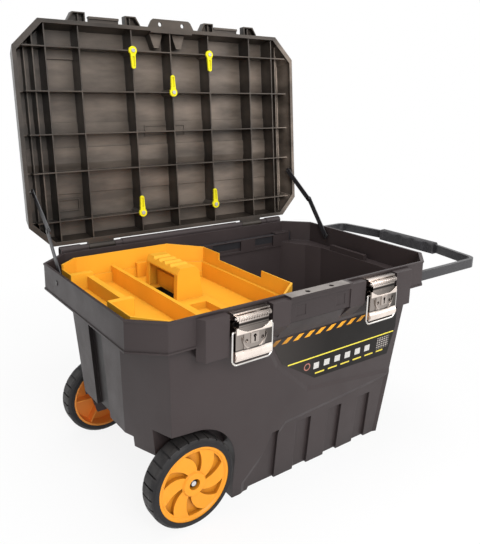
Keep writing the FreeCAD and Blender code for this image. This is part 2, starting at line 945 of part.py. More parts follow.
def tub_holes():
    pieces = []
    through = arch_wall + 10
    hole = s.axle_radius + s.shaft_clearance / 2
    pieces.append(rod("axle_hole", "y", (wheel_x, wheel_z), hole, (-through, through)))
    # hollow pads and centre block, open underneath, and hollow columns, open to the inside
    inner = s.latch_x - s.latch_recess_half
    outer = s.latch_x + s.latch_recess_half
    skin = s.block_wall
    hollow_y = (-block_front + skin, -half_depth - 1)
    column_y = (-block_front + skin, -half_depth + s.wall + 1)
    for x in mirrored(s.centre_half + skin, inner - skin):
        pieces.append(block("column_hollow", x, column_y, (ledge + skin, pad_high - skin)))
    for x in mirrored(outer + skin, s.block_half - skin):
        pieces.append(block("pad_hollow", x, hollow_y, (pad_low - 5, pad_high - skin)))
    centre = s.centre_half - skin
    hollow_y = (-block_front + skin + s.centre_panel_depth, -half_depth - 1)
    hollow_z = (centre_low - 5, s.rim_height - s.flange_thick)
    pieces.append(block("centre_hollow", (-centre, centre), hollow_y, hollow_z))
    for side in (-1, 1):
        place = (side * s.padlock_x, -block_front + s.padlock_y_back)
        pieces.append(rod("padlock_hole", "z", place, s.padlock_radius, (centre_low - 5, s.rim_height + 5)))
    panel_y = (-block_front - 1, -block_front + s.centre_panel_depth)
    wide = s.centre_half - 1
    panel_z = (centre_low - 1, s.rim_height - s.centre_panel_drop)
    pieces.append(block("centre_panel", (-wide, wide), panel_y, panel_z))
    mark_y = (-block_front, -block_front + s.centre_panel_depth + s.centre_mark_depth)
    mark_z = (centre_low + s.centre_mark_rise, s.rim_height - s.centre_mark_drop)
    for x in mirrored(s.centre_mark_near, s.centre_mark_far):
        pieces.append(block("centre_mark", x, mark_y, mark_z))
    # slots where the handle arms leave the box, and the windows in the rear curb
    for y in mirrored(curb_outside, arm_outside + s.slide_gap):
        slot_z = (ledge, bar_high + s.slide_gap)
        pieces.append(block("arm_slot", (half_length - s.skirt_rear_cut_x - s.wall, beyond), y, slot_z))
    first = (s.window_first_near, s.window_first_far)
    for x in (first, (s.window_second_near, s.window_second_far)):
        window_y = (curb_inside - 1, curb_outside)
        pieces.append(block("curb_window", x, window_y, (skirt_low - 3, curb_top - 2)))
    skin = s.stop_bar_wall
    bar_right = half_length - s.stop_bar_inset
    hollow_x = (bar_right - s.stop_bar_width + skin, bar_right - skin)
    hollow_y = (-s.stop_bar_front + skin, s.stop_bar_rear - skin)
    hollow_z = (skirt_low - 1, ledge + s.stop_bar_height - skin)
    pieces.append(block("stop_bar_hollow", hollow_x, hollow_y, hollow_z))
    # end groove, front panel and flutes
    low_z = s.bay_middle_height - 5
    groove_view = [
        (-beyond, low_z),
        (-end_slant(low_z) + s.groove_depth, low_z),
        (-end_slant(skirt_low) + s.groove_depth, skirt_low),
        (-beyond, skirt_low),
    ]
    half = s.groove_width / 2
    pieces.append(prism("groove", "y", groove_view, (-half, half)))
    panel_view = [
        (s.panel_left, -5),
        (s.panel_left, s.panel_left_rise),
        (s.panel_corner_x, s.panel_corner_z),
        (s.panel_right, s.panel_right_rise),
        (s.panel_right - s.panel_right_cut, -5),
    ]
    pieces.append(front_recess("front_panel", panel_view))
    bay_view = [
        (s.label_bay_left, label_top + s.label_bay_gap),
        (s.label_bay_step_x, label_top - s.label_bay_step_drop),
        (s.label_bay_foot_x, s.label_bay_low),
        (beyond, s.label_bay_low - s.label_bay_right_drop),
        (beyond, label_top + s.label_bay_gap),
    ]
    pieces.append(front_recess("label_bay", bay_view))
    for n in range(SIZES["flute_count"]):
        pieces.append(flute("flute", n, -5, -2, 0))
    for side in (-1, 1):
        reach = hinge_pin_half + 1
        ends = (side * s.hinge_x - reach, side * s.hinge_x + reach)
        bore = s.pin_radius + s.shaft_clearance / 2
        pieces.append(rod("hinge_bore", "x", (hinge_y, hinge_z), bore, ends))
        stay_ends = (side * (half_length - s.wall - 1), side * (half_length + 1))
        stay_hole = s.stay_pin_radius + s.shaft_clearance / 2
        pieces.append(rod("stay_hole", "x", (stay_body_y, stay_body_z), stay_hole, stay_ends))
        for rivet in (-1, 1):
            place = (side * s.latch_x + rivet * s.rivet_x, rivet_z)
            ends = (-half_depth - 1, -half_depth + s.wall + 1)
            pieces.append(rod("rivet_hole", "y", place, s.rivet_radius + s.shaft_clearance / 2, ends))
    return pieces


def make_tub():
    walls = fuse("tub_walls", [tub_shell()] + tub_fittings())
    keep(cut("tub", walls, tub_holes()), "tub")


# Label on the sloped front: a long panel with a step down to the left
def make_label():
    label = doc.addObject("PartDesign::Body", "front_label")
    sketch = label.newObject("Sketcher::SketchObject", "label_outline")
    sketch.AttachmentSupport = [(origin_part(label, "XZ_Plane"), "")]
    sketch.MapMode = "FlatFace"
    points = [
        (s.label_left, label_top),
        (s.label_step_x, label_top - s.label_step_drop),
        (s.label_foot_x, label_low + s.label_foot_rise),
        (s.label_right - s.label_right_cut, label_low),
        (s.label_right + s.label_right_lean, label_low + s.label_right_rise),
        (s.label_right, label_top),
    ]
    draw(sketch, points)
    pad = label.newObject("PartDesign::Pad", "label_pad")
    pad.Profile = sketch
    bind(pad, "Length", s.label_thick)
    lie_on_front(label, s.recess_depth)
    keep(label, "front_label")


# Wheels
def wheel_arc(radius, start, stop):
    """Part of a circle round the axle, from one angle to another in degrees."""
    angles = (start, (start + stop) / 2, stop)
    return Part.Arc(*[on_circle(radius, angle) for angle in angles])


def on_circle(radius, angle):
    turn = math.radians(angle)
    return Vector(radius * math.cos(turn), radius * math.sin(turn), 0)


def rectangle(low, high, half):
    """A rectangle across the X axis, from low to high along it."""
    corners = [Vector(x, y, 0) for x, y in ((low, -half), (high, -half), (high, half), (low, half))]
    return [Part.LineSegment(p, q) for p, q in zip(corners, corners[1:] + corners[:1])]


def swirl_pocket(inner, outer, lean, narrow, wide):
    """A curved pocket between two spokes that lean round the wheel, wider at its outer end."""
    bend = 0.44
    edges = []
    for start, end in ((0, lean), (narrow, lean + wide)):
        middle = on_circle((inner + outer) / 2, start + (end - start) * bend)
        edges.append((on_circle(inner, start), middle, on_circle(outer, end)))
    near, far = edges
    return [
        Part.Arc(*near),
        wheel_arc(outer, lean, lean + wide),
        Part.Arc(*reversed(far)),
        wheel_arc(inner, narrow, 0),
    ]


def make_wheel(name, side):
    """side is -1 at the front and 1 at the back; a wheel is drawn with its outer face at -Y."""
    half = s.wheel_width / 2
    middle_y = side * (wheel_face - half)
    centre = (wheel_x, middle_y, wheel_z)
    bore = s.axle_radius + s.shaft_clearance / 2
    barrel = s.rim_radius - s.rim_barrel
    disc_out = -half + s.hub_recess * 0.4
    disc_in = disc_out + s.rim_disc
    profile = [
        (-half + s.hub_recess, bore),
        (-half + s.hub_recess, s.hub_mouth),
        (-half + 1, s.hub_mouth + 1),
        (-half + 1, s.hub_radius + s.hub_rim),
        (disc_out, s.hub_radius + s.hub_rim + 2),
        (disc_out, barrel - 3),
        (-half + 1, barrel),
        (-half + 1, s.rim_radius),
        (half - 1, s.rim_radius),
        (half - 1, barrel),
        (disc_in, barrel - 2),
        (disc_in, s.hub_radius + 1),
        (half, s.hub_radius),
        (half, bore),
    ]
    rim = turned_body("wheel_rim_" + name, profile, centre)
    turns = (s.swirl_lean.value, s.swirl_inner_turn.value, s.swirl_outer_turn.value)
    curves = swirl_pocket(s.hub_radius.value + s.hub_rim.value * 2, barrel.value - 5, *turns)
    repeat_round(rim, "Pocket", "swirl_" + name, curves, -disc_out, s.swirl_depth, s.swirl_count)
    rib = rectangle(s.hub_radius.value - 2, barrel.value + 1, s.rim_rib_thick.value / 2)
    rib_face = 1 - disc_in
    rib_length = half - disc_in - s.rim_rib_inset
    repeat_round(rim, "Pad", "rim_rib_" + name, rib, rib_face, rib_length, s.swirl_count)
    rim.Placement = Placement(Vector(), TURNS["z"] if side < 0 else Rotation(Vector(0, 0, 1), 180))
    keep(rim, "wheel_rim_" + name)

    shoulder = s.tyre_radius - s.rim_radius
    tread = [
        (-half, s.rim_radius),
        (-half - 0.01, s.rim_radius + shoulder * 0.55),
        (-half + 5, s.tyre_radius - 1.2),
        (-half + 10, s.tyre_radius),
        (half - 10, s.tyre_radius),
        (half - 5, s.tyre_radius - 1.2),
        (half + 0.01, s.rim_radius + shoulder * 0.55),
        (half, s.rim_radius),
    ]
    tyre = turned_body("wheel_tyre_" + name, tread, centre)
    low = s.tyre_radius.value - s.tread_depth.value
    notch = rectangle(low, s.tyre_radius.value + 3, s.tread_width.value / 2)
    repeat_round(tyre, "Pocket", "tread_" + name, notch, half + 1, s.wheel_width + 2, s.tread_count)
    keep(tyre, "wheel_tyre_" + name)

    # push-on cap in the hub recess
    out = wheel_face - s.hub_recess
    cap = [(out, 0), (out + s.cap_length, 0), (out + s.cap_length, s.cap_radius - 2),
           (out + s.cap_length - 1.5, s.cap_radius), (out, s.cap_radius)]
    cap_profile = [(side * y, r) for y, r in cap]
    cap_body = turned_body("axle_cap_" + name, cap_profile, (wheel_x, sized(0), wheel_z))
    keep(cap_body, "axle_cap_" + name)


def make_wheels():
    end = wheel_face - s.hub_recess
    axle = rod("wheel_axle", "y", (wheel_x, wheel_z), s.axle_radius, (-end, end))
    keep(axle, "wheel_axle")
    make_wheel("front", -1)
    make_wheel("rear", 1)


# Pull handle: one bent flat bar, a soft grip and a guide shoe on the inner end of each arm
def round_edges(body, name, radius, chosen):
    """Rounds the edges of a body that the test picks out by their middle and direction."""
    doc.recompute()
    base = body.Tip
    names = []
    for number, edge in enumerate(base.Shape.Edges, 1):
        along = edge.Vertexes[-1].Point.sub(edge.Vertexes[0].Point)
        if along.Length > 0 and chosen(edge.CenterOfMass, along.normalize()):
            names.append("Edge%d" % number)
    fillet = body.newObject("PartDesign::Fillet", name)
    fillet.Base = (base, names)
    bind(fillet, "Radius", radius)


def padded_body(label, axis, points, ends):
    """A body padded from one outline along an axis."""
    planes = {"z": "XY_Plane", "y": "XZ_Plane", "x": "YZ_Plane"}
    low, high = ordered(ends)
    body = doc.addObject("PartDesign::Body", label)
    sketch = body.newObject("Sketcher::SketchObject", label + "_outline")
    sketch.AttachmentSupport = [(origin_part(body, planes[axis]), "")]
    sketch.MapMode = "FlatFace"
    bind(sketch, "AttachmentOffset.Base.z", -high if axis == "y" else low)
    draw(sketch, points)
    pad = body.newObject("PartDesign::Pad", label + "_pad")
    pad.Profile = sketch
    bind(pad, "Length", high - low)
    return body


def make_handle():
    half = s.bar_thick / 2
    path = [
        (s.arm_inner_end, -arm_outside),
        (s.handle_corner_x + half, -arm_outside),
        (s.handle_reach + half, -s.handle_bend_y),
        (s.handle_reach + half, s.handle_bend_y),
        (s.handle_corner_x + half, arm_outside),
        (s.arm_inner_end, arm_outside),
        (s.arm_inner_end, arm_inside),
        (s.handle_corner_x - half, arm_inside),
        (s.handle_reach - half, s.handle_bend_y),
        (s.handle_reach - half, -s.handle_bend_y),
        (s.handle_corner_x - half, -arm_inside),
        (s.arm_inner_end, -arm_inside),
    ]
    bar = padded_body("handle_bar", "z", path, (bar_low, bar_high))
    corner = s.handle_corner_x.value
    middle = ((arm_inside + arm_outside) / 2).value
    reach = s.bar_thick.value

    def outer_corner(place, along):
        return abs(along.z) > 0.9 and abs(place.x - corner) < reach and abs(place.y) > middle

    def inner_corner(place, along):
        near = abs(place.x - corner) < reach
        return abs(along.z) > 0.9 and near and middle - reach < abs(place.y) < middle

    round_edges(bar, "outer_bends", s.corner_radius + half, outer_corner)
    round_edges(bar, "inner_bends", s.corner_radius - half, inner_corner)
    keep(bar, "handle_bar")

    middle_z = (bar_low + bar_high) / 2
    ends = (-s.grip_half, s.grip_half)
    half = s.grip_size / 2
    tall = s.grip_height / 2
    side_view = [
        (s.handle_reach - half, middle_z - tall),
        (s.handle_reach + half, middle_z - tall),
        (s.handle_reach + half, middle_z + tall),
        (s.handle_reach - half, middle_z + tall),
    ]
    grip = padded_body("grip_body", "y", side_view, ends)
    round_edges(grip, "grip_rounding", half * 0.6, lambda place, along: abs(along.y) > 0.9)
    hollow = block(
        "grip_hollow",
        (s.handle_reach - s.bar_thick / 2, s.handle_reach + s.bar_thick / 2),
        (-s.grip_half - 1, s.grip_half + 1),
        (bar_low, bar_high),
    )
    scoops = [hollow]
    pitch = s.grip_half * 2 / s.grip_waves
    deep = pitch * 0.62
    for n in range(SIZES["grip_waves"]):
        place = (s.handle_reach - half - deep + 3, -s.grip_half + pitch * (n + 0.5))
        scoops.append(rod("finger_scoop", "z", place, deep, (middle_z - tall - 1, middle_z + tall + 1)))
    keep(cut("handle_grip", grip, scoops), "handle_grip")

    for name, side in (("front", -1), ("rear", 1)):
        y = (side * arm_outside, side * (half_depth - s.wall - s.slide_gap))
        x = (s.arm_inner_end, s.arm_inner_end + s.shoe_length)
        shoe = block("handle_shoe_" + name, x, y, (bar_low, bar_high))
        keep(shoe, "handle_shoe_" + name)


# Hinge pins
def make_hinge_pins():
    for name, side in (("left", -1), ("right", 1)):
        ends = (side * s.hinge_x - hinge_pin_half, side * s.hinge_x + hinge_pin_half)
        pin = rod("hinge_pin_" + name, "x", (hinge_y, hinge_z), s.pin_radius, ends)
        keep(pin, "hinge_pin_" + name)


# Lid, drawn closed: Y and Z are measured from the hinge line
lid_half = half_length + s.lid_over_ends
lid_front = hinge_y + half_depth + s.lid_over_front
lid_rear = hinge_y - half_depth - s.lid_over_rear
lid_rim = s.seam_gap - s.hinge_up
clip_front_v = lid_front - s.clip_front_inset
clip_middle_v = lid_front - s.clip_middle_inset
rib_centre_v = lid_front - s.rib_centre_inset
ear_reach = lid_front + s.ear_out
catch_reach = lid_front + s.catch_out
lid_top = lid_rim + s.lid_height
rib_edge = lid_rim + s.rib_setback
padlock_v = hinge_y + block_front - s.padlock_y_back
CLIPS = {
    "front_left": (-s.clip_x, clip_front_v, -1),
    "front_right": (s.clip_x, clip_front_v, -1),
    "middle": (s.clip_middle_x, clip_middle_v, 1),
    "rear_left": (-s.clip_x, s.clip_rear_v, 1),
    "rear_right": (s.clip_x, s.clip_rear_v, 1),
}


def lid_outline(inset):
    return eight_sided(
        lid_half - inset,
        -lid_front + inset,
        -lid_rear - inset,
        (s.lid_front_cut, s.lid_front_cut),
        (s.lid_rear_cut, s.lid_rear_cut),
    )


def lid_ribs():
    pieces = []
    deep = (rib_edge, lid_top - 1)
    half = s.rib_thick / 2
    for x in (s.rib_outer_x, s.rib_side_x, s.clip_x):
        for side in (-1, 1):
            span = (side * x - half, side * x + half)
            pieces.append(block("long_rib", span, (-lid_front + 1, -lid_rear - 1), deep))
    span = (s.clip_middle_x - half, s.clip_middle_x + half)
    pieces.append(block("middle_rib", span, (-lid_front + 1, -lid_rear - 1), deep))
    reach = lid_half - s.rib_end_gap
    ends_deep = (lid_rim + s.rib_end_depth, lid_top - 1)
    for v in (clip_front_v, clip_middle_v, rib_centre_v, s.rib_low_v, s.clip_rear_v):
        span = (-v - half, -v + half)
        pieces.append(block("cross_rib", (-reach, reach), span, deep))
        pieces.append(block("cross_rib_ends", (-lid_half + 1, lid_half - 1), span, ends_deep))
    for x, depth in ((s.side_rib_x, s.side_rib_depth), (s.side_step_x, s.side_step_depth)):
        side_deep = (lid_rim + depth, lid_top - 1)
        for span in mirrored(x - half, x + half):
            pieces.append(block("side_rib", span, (-lid_front + 1, -lid_rear - 1), side_deep))
    # steps and a bevelled band of the panel, each a distance from the hinge line and a thickness
    under = lid_top - s.lid_wall
    panel_view = [
        (-s.step_low_v, under + 1),
        (-s.step_low_v, under - s.step_low_thick),
        (-s.rib_low_v, under - s.step_low_thick),
        (-s.rib_low_v - s.bevel_run, under - s.step_high_thick),
        (-s.step_middle_v, under - s.step_high_thick),
        (-s.step_middle_v, under - s.step_low_thick),
        (-s.step_high_v, under - s.step_low_thick),
        (-s.step_high_v, under + 1),
    ]
    pieces.append(prism("panel_steps", "x", panel_view, (-reach, reach)))
    step_y = (-clip_front_v, -s.left_step_v)
    pieces.append(block("left_step", (-s.rib_outer_x, -s.rib_side_x), step_y, (under - 5, under + 1)))
    # frames round the middle rib and low in the left column
    for x, v in (((-60, 45), (225, 250)), ((-275, -225), (75, 100))):
        rail = s.frame_rail
        outer = block("frame_out", x, (-sized(v[1]), -sized(v[0])), (under - 4, under + 1))
        inner_x = (sized(x[0]) + rail, sized(x[1]) - rail)
        inner = block("frame_in", inner_x, (rail - v[1], -rail - v[0]), (under - 5, under + 2))
        pieces.append(cut("frame", outer, [inner]))
    # bosses behind the padlock holes
    for side in (-1, 1):
        middle = side * s.padlock_x
        boss = [
            (middle - 16, -lid_front + s.lid_inset),
            (middle + 16, -lid_front + s.lid_inset),
            (middle + 6, -lid_front + s.lid_inset + 30),
            (middle - 6, -lid_front + s.lid_inset + 30),
        ]
        pieces.append(prism("padlock_boss", "z", boss, (lid_rim + s.rib_end_depth, lid_top - 1)))
    for x, v, way in CLIPS.values():
        pieces.append(rod("clip_boss", "z", (x, -v), s.clip_head_radius - 1, deep))
    return pieces


def post(side, near, far, lean_near, lean_far):
    """A hollow post on the front edge, open towards the rim, with a rib up its middle."""
    root = -lid_front + 4

    def outline_in(inset):
        points = [
            (near + inset, root),
            (far - inset, root),
            (far - inset - lean_far * 0.2, -lid_front - 2),
            (far - inset - lean_far, -ear_reach + inset),
            (near + inset + lean_near, -ear_reach + inset),
            (near + inset + lean_near * 0.2, -lid_front - 2),
        ]
        return [(side * x, y) for x, y in points]

    deep = lid_rim + s.post_depth
    whole = prism("post", "z", outline_in(0), (lid_rim, deep))
    room = prism("post_room", "z", outline_in(s.post_wall), (lid_rim - 1, deep - s.post_wall))
    middle = side * (near + far + lean_near - lean_far) / 2
    half = s.rib_thick / 2
    rib = block("post_rib", (middle - half, middle + half), (-ear_reach + 1, root), (rib_edge, deep - 1))
    return [cut("hollow_post", whole, [room]), rib]


def lid_edges():
    """Tabs, catches and knuckles that stand out from the lid's walls."""
    pieces = []
    root = -lid_front + 4
    for side in (-1, 1):
        pieces += post(side, s.post_inner_near, s.post_inner_far, s.post_lean, 0)
        pieces += post(side, s.post_outer_near, s.post_outer_far, 0, s.post_lean)
    flat = (lid_rim, lid_rim + s.ear_thick)
    tab = [
        (-s.tab_half - 3, root),
        (s.tab_half + 3, root),
        (s.tab_half + 2, -lid_front),
        (s.tab_half - 6, -ear_reach + 4),
        (s.tab_half - 11, -ear_reach),
        (-s.tab_half + 11, -ear_reach),
        (-s.tab_half + 6, -ear_reach + 4),
        (-s.tab_half - 2, -lid_front),
    ]
    pieces.append(prism("tab", "z", tab, flat))
    root_y = (root - 1, root + s.tab_root_thick)
    pieces.append(block("tab_root", (-s.tab_half + 3, s.tab_half - 3), root_y, (lid_rim, lid_rim + 8)))
    for side in (-1, 1):
        x = (side * s.latch_x - s.catch_half, side * s.latch_x + s.catch_half)
        pieces.append(block("catch", x, (-catch_reach, root + 1), (catch_top - 5, catch_top)))
        tip = -catch_reach
        pieces.append(block("catch_lip", x, (tip, tip + 3), (catch_top - 1, catch_top + 2.5)))
        pieces.append(block("catch_bar", x, (tip, tip + 5), (catch_top - 8, catch_top - 4)))
        half = s.knuckle_width / 2
        x = (side * s.hinge_x - half, side * s.hinge_x + half)
        pieces.append(rod("knuckle", "x", (0, 0), s.knuckle_radius, x))
        pieces.append(block("knuckle_root", x, (-lid_rear - 3, 0), (lid_rim, s.knuckle_radius)))
    return pieces


def make_lid():
    top_outline = lid_outline(s.lid_inset)
    outside = loft("lid_outside", lid_outline(0), lid_rim, top_outline, lid_top)
    room_top = lid_outline(s.lid_inset + s.lid_wall)
    border_top = lid_rim + s.border_thick
    room = loft("lid_room", lid_outline(s.lid_wall), border_top, room_top, lid_top - s.lid_wall)
    mouth = prism("lid_mouth", "z", lid_outline(s.border), (lid_rim - 1, border_top + 1))
    cover = loft("lid_cover", lid_outline(0), lid_rim, top_outline, lid_top)
    ribs = common("lid_ribs", fuse("lid_ribs_whole", lid_ribs()), cover)
    shell = cut("lid_shell", outside, [room, mouth])
    holes = []
    for side in (-1, 1):
        place = (side * s.padlock_x, -padlock_v)
        holes.append(rod("tab_hole", "z", place, s.padlock_radius, (lid_rim - 1, lid_rim + s.ear_thick + 1)))
        x = (side * s.hinge_x - s.knuckle_width, side * s.hinge_x + s.knuckle_width)
        holes.append(rod("knuckle_bore", "x", (0, 0), s.pin_radius + s.shaft_clearance / 2, x))
        x = (side * (stud_in + 5), side * (lid_half + 5))
        bore = s.stay_pin_radius + s.shaft_clearance / 2
        holes.append(rod("stud_hole", "x", (-s.stay_lid_v, s.stay_lid_w), bore, x))
    for x, v, way in CLIPS.values():
        bore = s.screw_radius + s.shaft_clearance / 2
        holes.append(rod("screw_hole", "z", (x, -v), bore, (rib_edge - 1, rib_edge + s.clip_screw_depth)))
    lid = cut("lid", fuse("lid_walls", [shell, ribs] + lid_edges()), holes)
    keep(on_lid(lid), "lid")


catch_top = lid_rim + s.catch_height
stay_outer = half_length - s.wall - 5
stay_inner = stay_outer - s.stay_thick - s.stay_gap
stud_in = stay_outer + 0.5


# Tool clips on the rib crossings of the lid, each turning on its screw
def make_clips():
    screws = []
    for name, (x, v, way) in CLIPS.items():
        face = rib_edge - s.seam_gap
        low = face - s.clip_thick
        tip = -v + way * -s.clip_length
        neck = -v + way * -s.clip_length * 0.3
        finger = [
            (x - s.clip_head_radius * 0.75, -v),
            (x - s.clip_head_radius * 0.62, neck),
            (x - s.clip_head_radius * 0.5, tip),
            (x + s.clip_head_radius * 0.5, tip),
            (x + s.clip_head_radius * 0.62, neck),
            (x + s.clip_head_radius * 0.75, -v),
        ]
        pieces = [
            rod("clip_head", "z", (x, -v), s.clip_head_radius, (low, face)),
            prism("clip_finger", "z", finger, (low, face)),
            rod("clip_tip", "z", (x, tip), s.clip_head_radius * 0.5, (low, face)),
        ]
        hole = rod("clip_hole", "z", (x, -v), s.screw_radius + s.shaft_clearance, (low - 1, face + 1))
        hollow_length = (-v - way * (s.clip_head_radius + 3), tip)
        thin = s.clip_head_radius * 0.28
        hollow_z = (low - 1, low + s.clip_thick / 2)
        hollow = block("clip_hollow", (x - thin, x + thin), hollow_length, hollow_z)
        clip = cut("tool_clip_" + name, fuse("clip_" + name, pieces), [hole, hollow])
        keep(on_lid(clip), "tool_clip_" + name)
        shank_z = (low - 0.5, rib_edge + s.clip_screw_depth)
        screws.append(rod("screw_shank", "z", (x, -v), s.screw_radius, shank_z))
        screws.append(rod("screw_head", "z", (x, -v), s.screw_head_radius, (low - 2.2, low - 0.2)))
    keep(on_lid(fuse("clip_screws", screws)), "clip_screws")


# Folding stays at both ends of the lid
def stay_link(name, x, start, end, hole):
    """A flat link with round ends, from one pivot to another; both are places in Y and Z."""
    run, rise = end[0] - start[0], end[1] - start[1]
    length = distance(run, rise)
    half = s.stay_width / 2
    pieces = [
        block(name + "_bar", x, (0, length), (-half, half)),
        rod(name + "_round", "x", (0, 0), half, x),
        rod(name + "_far_round", "x", (length, 0), half, x),
    ]
    wide = (ordered(x)[0] - 1, ordered(x)[1] + 1)
    holes = [
        rod(name + "_hole", "x", (0, 0), hole, wide),
        rod(name + "_far_hole", "x", (length, 0), hole, wide),
    ]
    link = cut(name, fuse(name + "_plate", pieces), holes)
    link.Placement = Placement(Vector(), Rotation(Vector(1, 0, 0), 1))
    bind(link, "Placement.Base.y", start[0])
    bind(link, "Placement.Base.z", start[1])
    bind(link, "Placement.Rotation.Angle", slope_angle(rise, run))
    return link


def make_stays():
    radius = s.stay_pin_radius
    hole = radius + s.shaft_clearance / 2
    body_pivot = (stay_body_y, stay_body_z)
    elbow = (hinge_y - s.stay_elbow_run, s.rim_height + s.stay_elbow_rise)
    lid_pivot = (
        hinge_y - s.stay_lid_v * cosine(s.open_angle) + s.stay_lid_w * sine(s.open_angle),
        hinge_z + s.stay_lid_v * sine(s.open_angle) + s.stay_lid_w * cosine(s.open_angle),
    )
    thick = s.stay_thick
    for name, side in (("left", -1), ("right", 1)):
        outer = (side * (stay_outer - thick), side * stay_outer)
        inner = (side * (stay_inner - thick), side * stay_inner)
        keep(stay_link("stay_lower_" + name, outer, body_pivot, elbow, hole), "stay_lower_" + name)
        keep(stay_link("stay_upper_" + name, inner, elbow, lid_pivot, hole), "stay_upper_" + name)
        deep = stay_inner - thick
        rivet = [
            rod("elbow_shank", "x", elbow, radius, (side * (deep - 0.6), side * (stay_outer + 0.6))),
            rod("elbow_head", "x", elbow, radius * 1.8, (side * (stay_outer + 0.2), side * (stay_outer + 1))),
            rod("elbow_tail", "x", elbow, radius * 1.8, (side * (deep - 1), side * (deep - 0.2))),
        ]
        keep(fuse("stay_elbow_rivet_" + name, rivet), "stay_elbow_rivet_" + name)
        shank_x = (side * (stay_outer - thick - 0.3), side * half_length)
        head_x = (side * half_length, side * (half_length + 1.2))
        collar_x = (side * (stay_outer + 0.4), side * (half_length - s.wall))
        pin = [
            rod("stay_pin", "x", body_pivot, radius, shank_x),
            rod("stay_pin_head", "x", body_pivot, radius * 1.9, head_x),
            rod("stay_pin_collar", "x", body_pivot, radius * 1.5, collar_x),
        ]
        keep(fuse("stay_body_pin_" + name, pin), "stay_body_pin_" + name)
        stud_place = (-s.stay_lid_v, s.stay_lid_w)
        stud = [
            rod("stud_shank", "x", stud_place, radius, (side * stud_in, side * (lid_half - 2))),
            rod("stud_end", "x", stud_place, radius * 1.8, (side * stud_in, side * (stud_in + 3))),
        ]
        keep(on_lid(fuse("stay_lid_stud_" + name, stud)), "stay_lid_stud_" + name)


# Latches
def wire(name, axis, points, place, radius, start):
    """A round wire along a line of straight runs with rounded corners."""
    spine = doc.addObject("Sketcher::SketchObject", name + "_spine")
    spine.Placement = Placement(Vector(), PLANES[axis])
    ends = [Vector(sized(a).value, sized(b).value, 0) for a, b in points]
    spine.addGeometry([Part.LineSegment(p, q) for p, q in zip(ends, ends[1:])], False)
    rules = [Sketcher.Constraint("Coincident", n, 2, n + 1, 1) for n in range(len(ends) - 2)]
    spine.addConstraint(rules)
    bind(spine, "Placement.Base." + axis, place)
    profile = doc.addObject("Part::Circle", name + "_profile")
    bind(profile, "Radius", radius)
    profile.Placement = start
    sweep = doc.addObject("Part::Sweep", name)
    sweep.Sections = [profile]
    sweep.Spine = (spine, ["Edge%d" % n for n in range(1, len(ends))])
    sweep.Solid = True
    sweep.Transition = "Round corner"
    return sweep


def lever_front(middle, front):
    """The raised parts of the lever's face: a field, a square with a keyhole, a crescent and a foot."""
    shoulder = latch_pin_z - s.lever_shoulder
    field_low = lever_low + s.lever_roll_radius + 5
    pad = (front - s.lever_pad_out, front + 1)
    raised = (front - s.lever_pad_out * 2, front + 1)
    field_x = (middle - s.lever_pad_half, middle + s.lever_pad_half)
    field = block("lever_field", field_x, pad, (field_low, shoulder - 9))
    dish = rod("lever_dish", "y", (middle, shoulder + 44), 55, (front - 5, front + 5))
    crown_x = (middle - s.latch_half + 1, middle + s.latch_half - 1)
    crown = block("lever_crown", crown_x, pad, (shoulder - 12, shoulder))
    key_plate = block("key_plate", (middle - 8, middle + 8), raised, (shoulder - 30, shoulder - 12))
    ring = rod("crescent_ring", "y", (middle, field_low + 24), 24, raised)
    ring_hole = rod("crescent_hole", "y", (middle, field_low + 27.5), 24, (front - 5, front + 5))
    roll_place = (front + s.lever_roll_radius - 3, lever_low + s.lever_roll_radius - 1)
    roll_x = (middle - s.latch_half, middle + s.latch_half)
    roll = rod("lever_roll", "x", roll_place, s.lever_roll_radius, roll_x)
    wide = (middle - s.latch_half - 1, middle + s.latch_half + 1)
    roll_cuts = [
        rod("roll_room", "x", roll_place, s.lever_roll_radius - 2.5, wide),
        block("roll_back", wide, (front + 6, front + 20), (lever_low - 5, lever_low + 25)),
        block("roll_low", wide, (front - 5, front + 20), (lever_low - 5, lever_low)),
    ]
    return [
        field,
        cut("lever_crescent", crown, [dish]),
        key_plate,
        cut("pull_crescent", ring, [ring_hole]),
        cut("lever_roll_shell", roll, roll_cuts),
    ]


def knuckle_grooves(middle, pin_y):
    rings = []
    for n in range(SIZES["knuckle_groove_count"]):
        x = middle + s.knuckle_groove_pitch * (n - (SIZES["knuckle_groove_count"] - 1) / 2)
        ends = (x - 0.8, x + 0.8)
        wide = rod("groove_wide", "x", (pin_y, latch_pin_z), s.latch_knuckle + 1, ends)
        core = rod("groove_core", "x", (pin_y, latch_pin_z), s.latch_knuckle - 0.8, (x - 1, x + 1))
        rings.append(cut("groove", wide, [core]))
    return rings


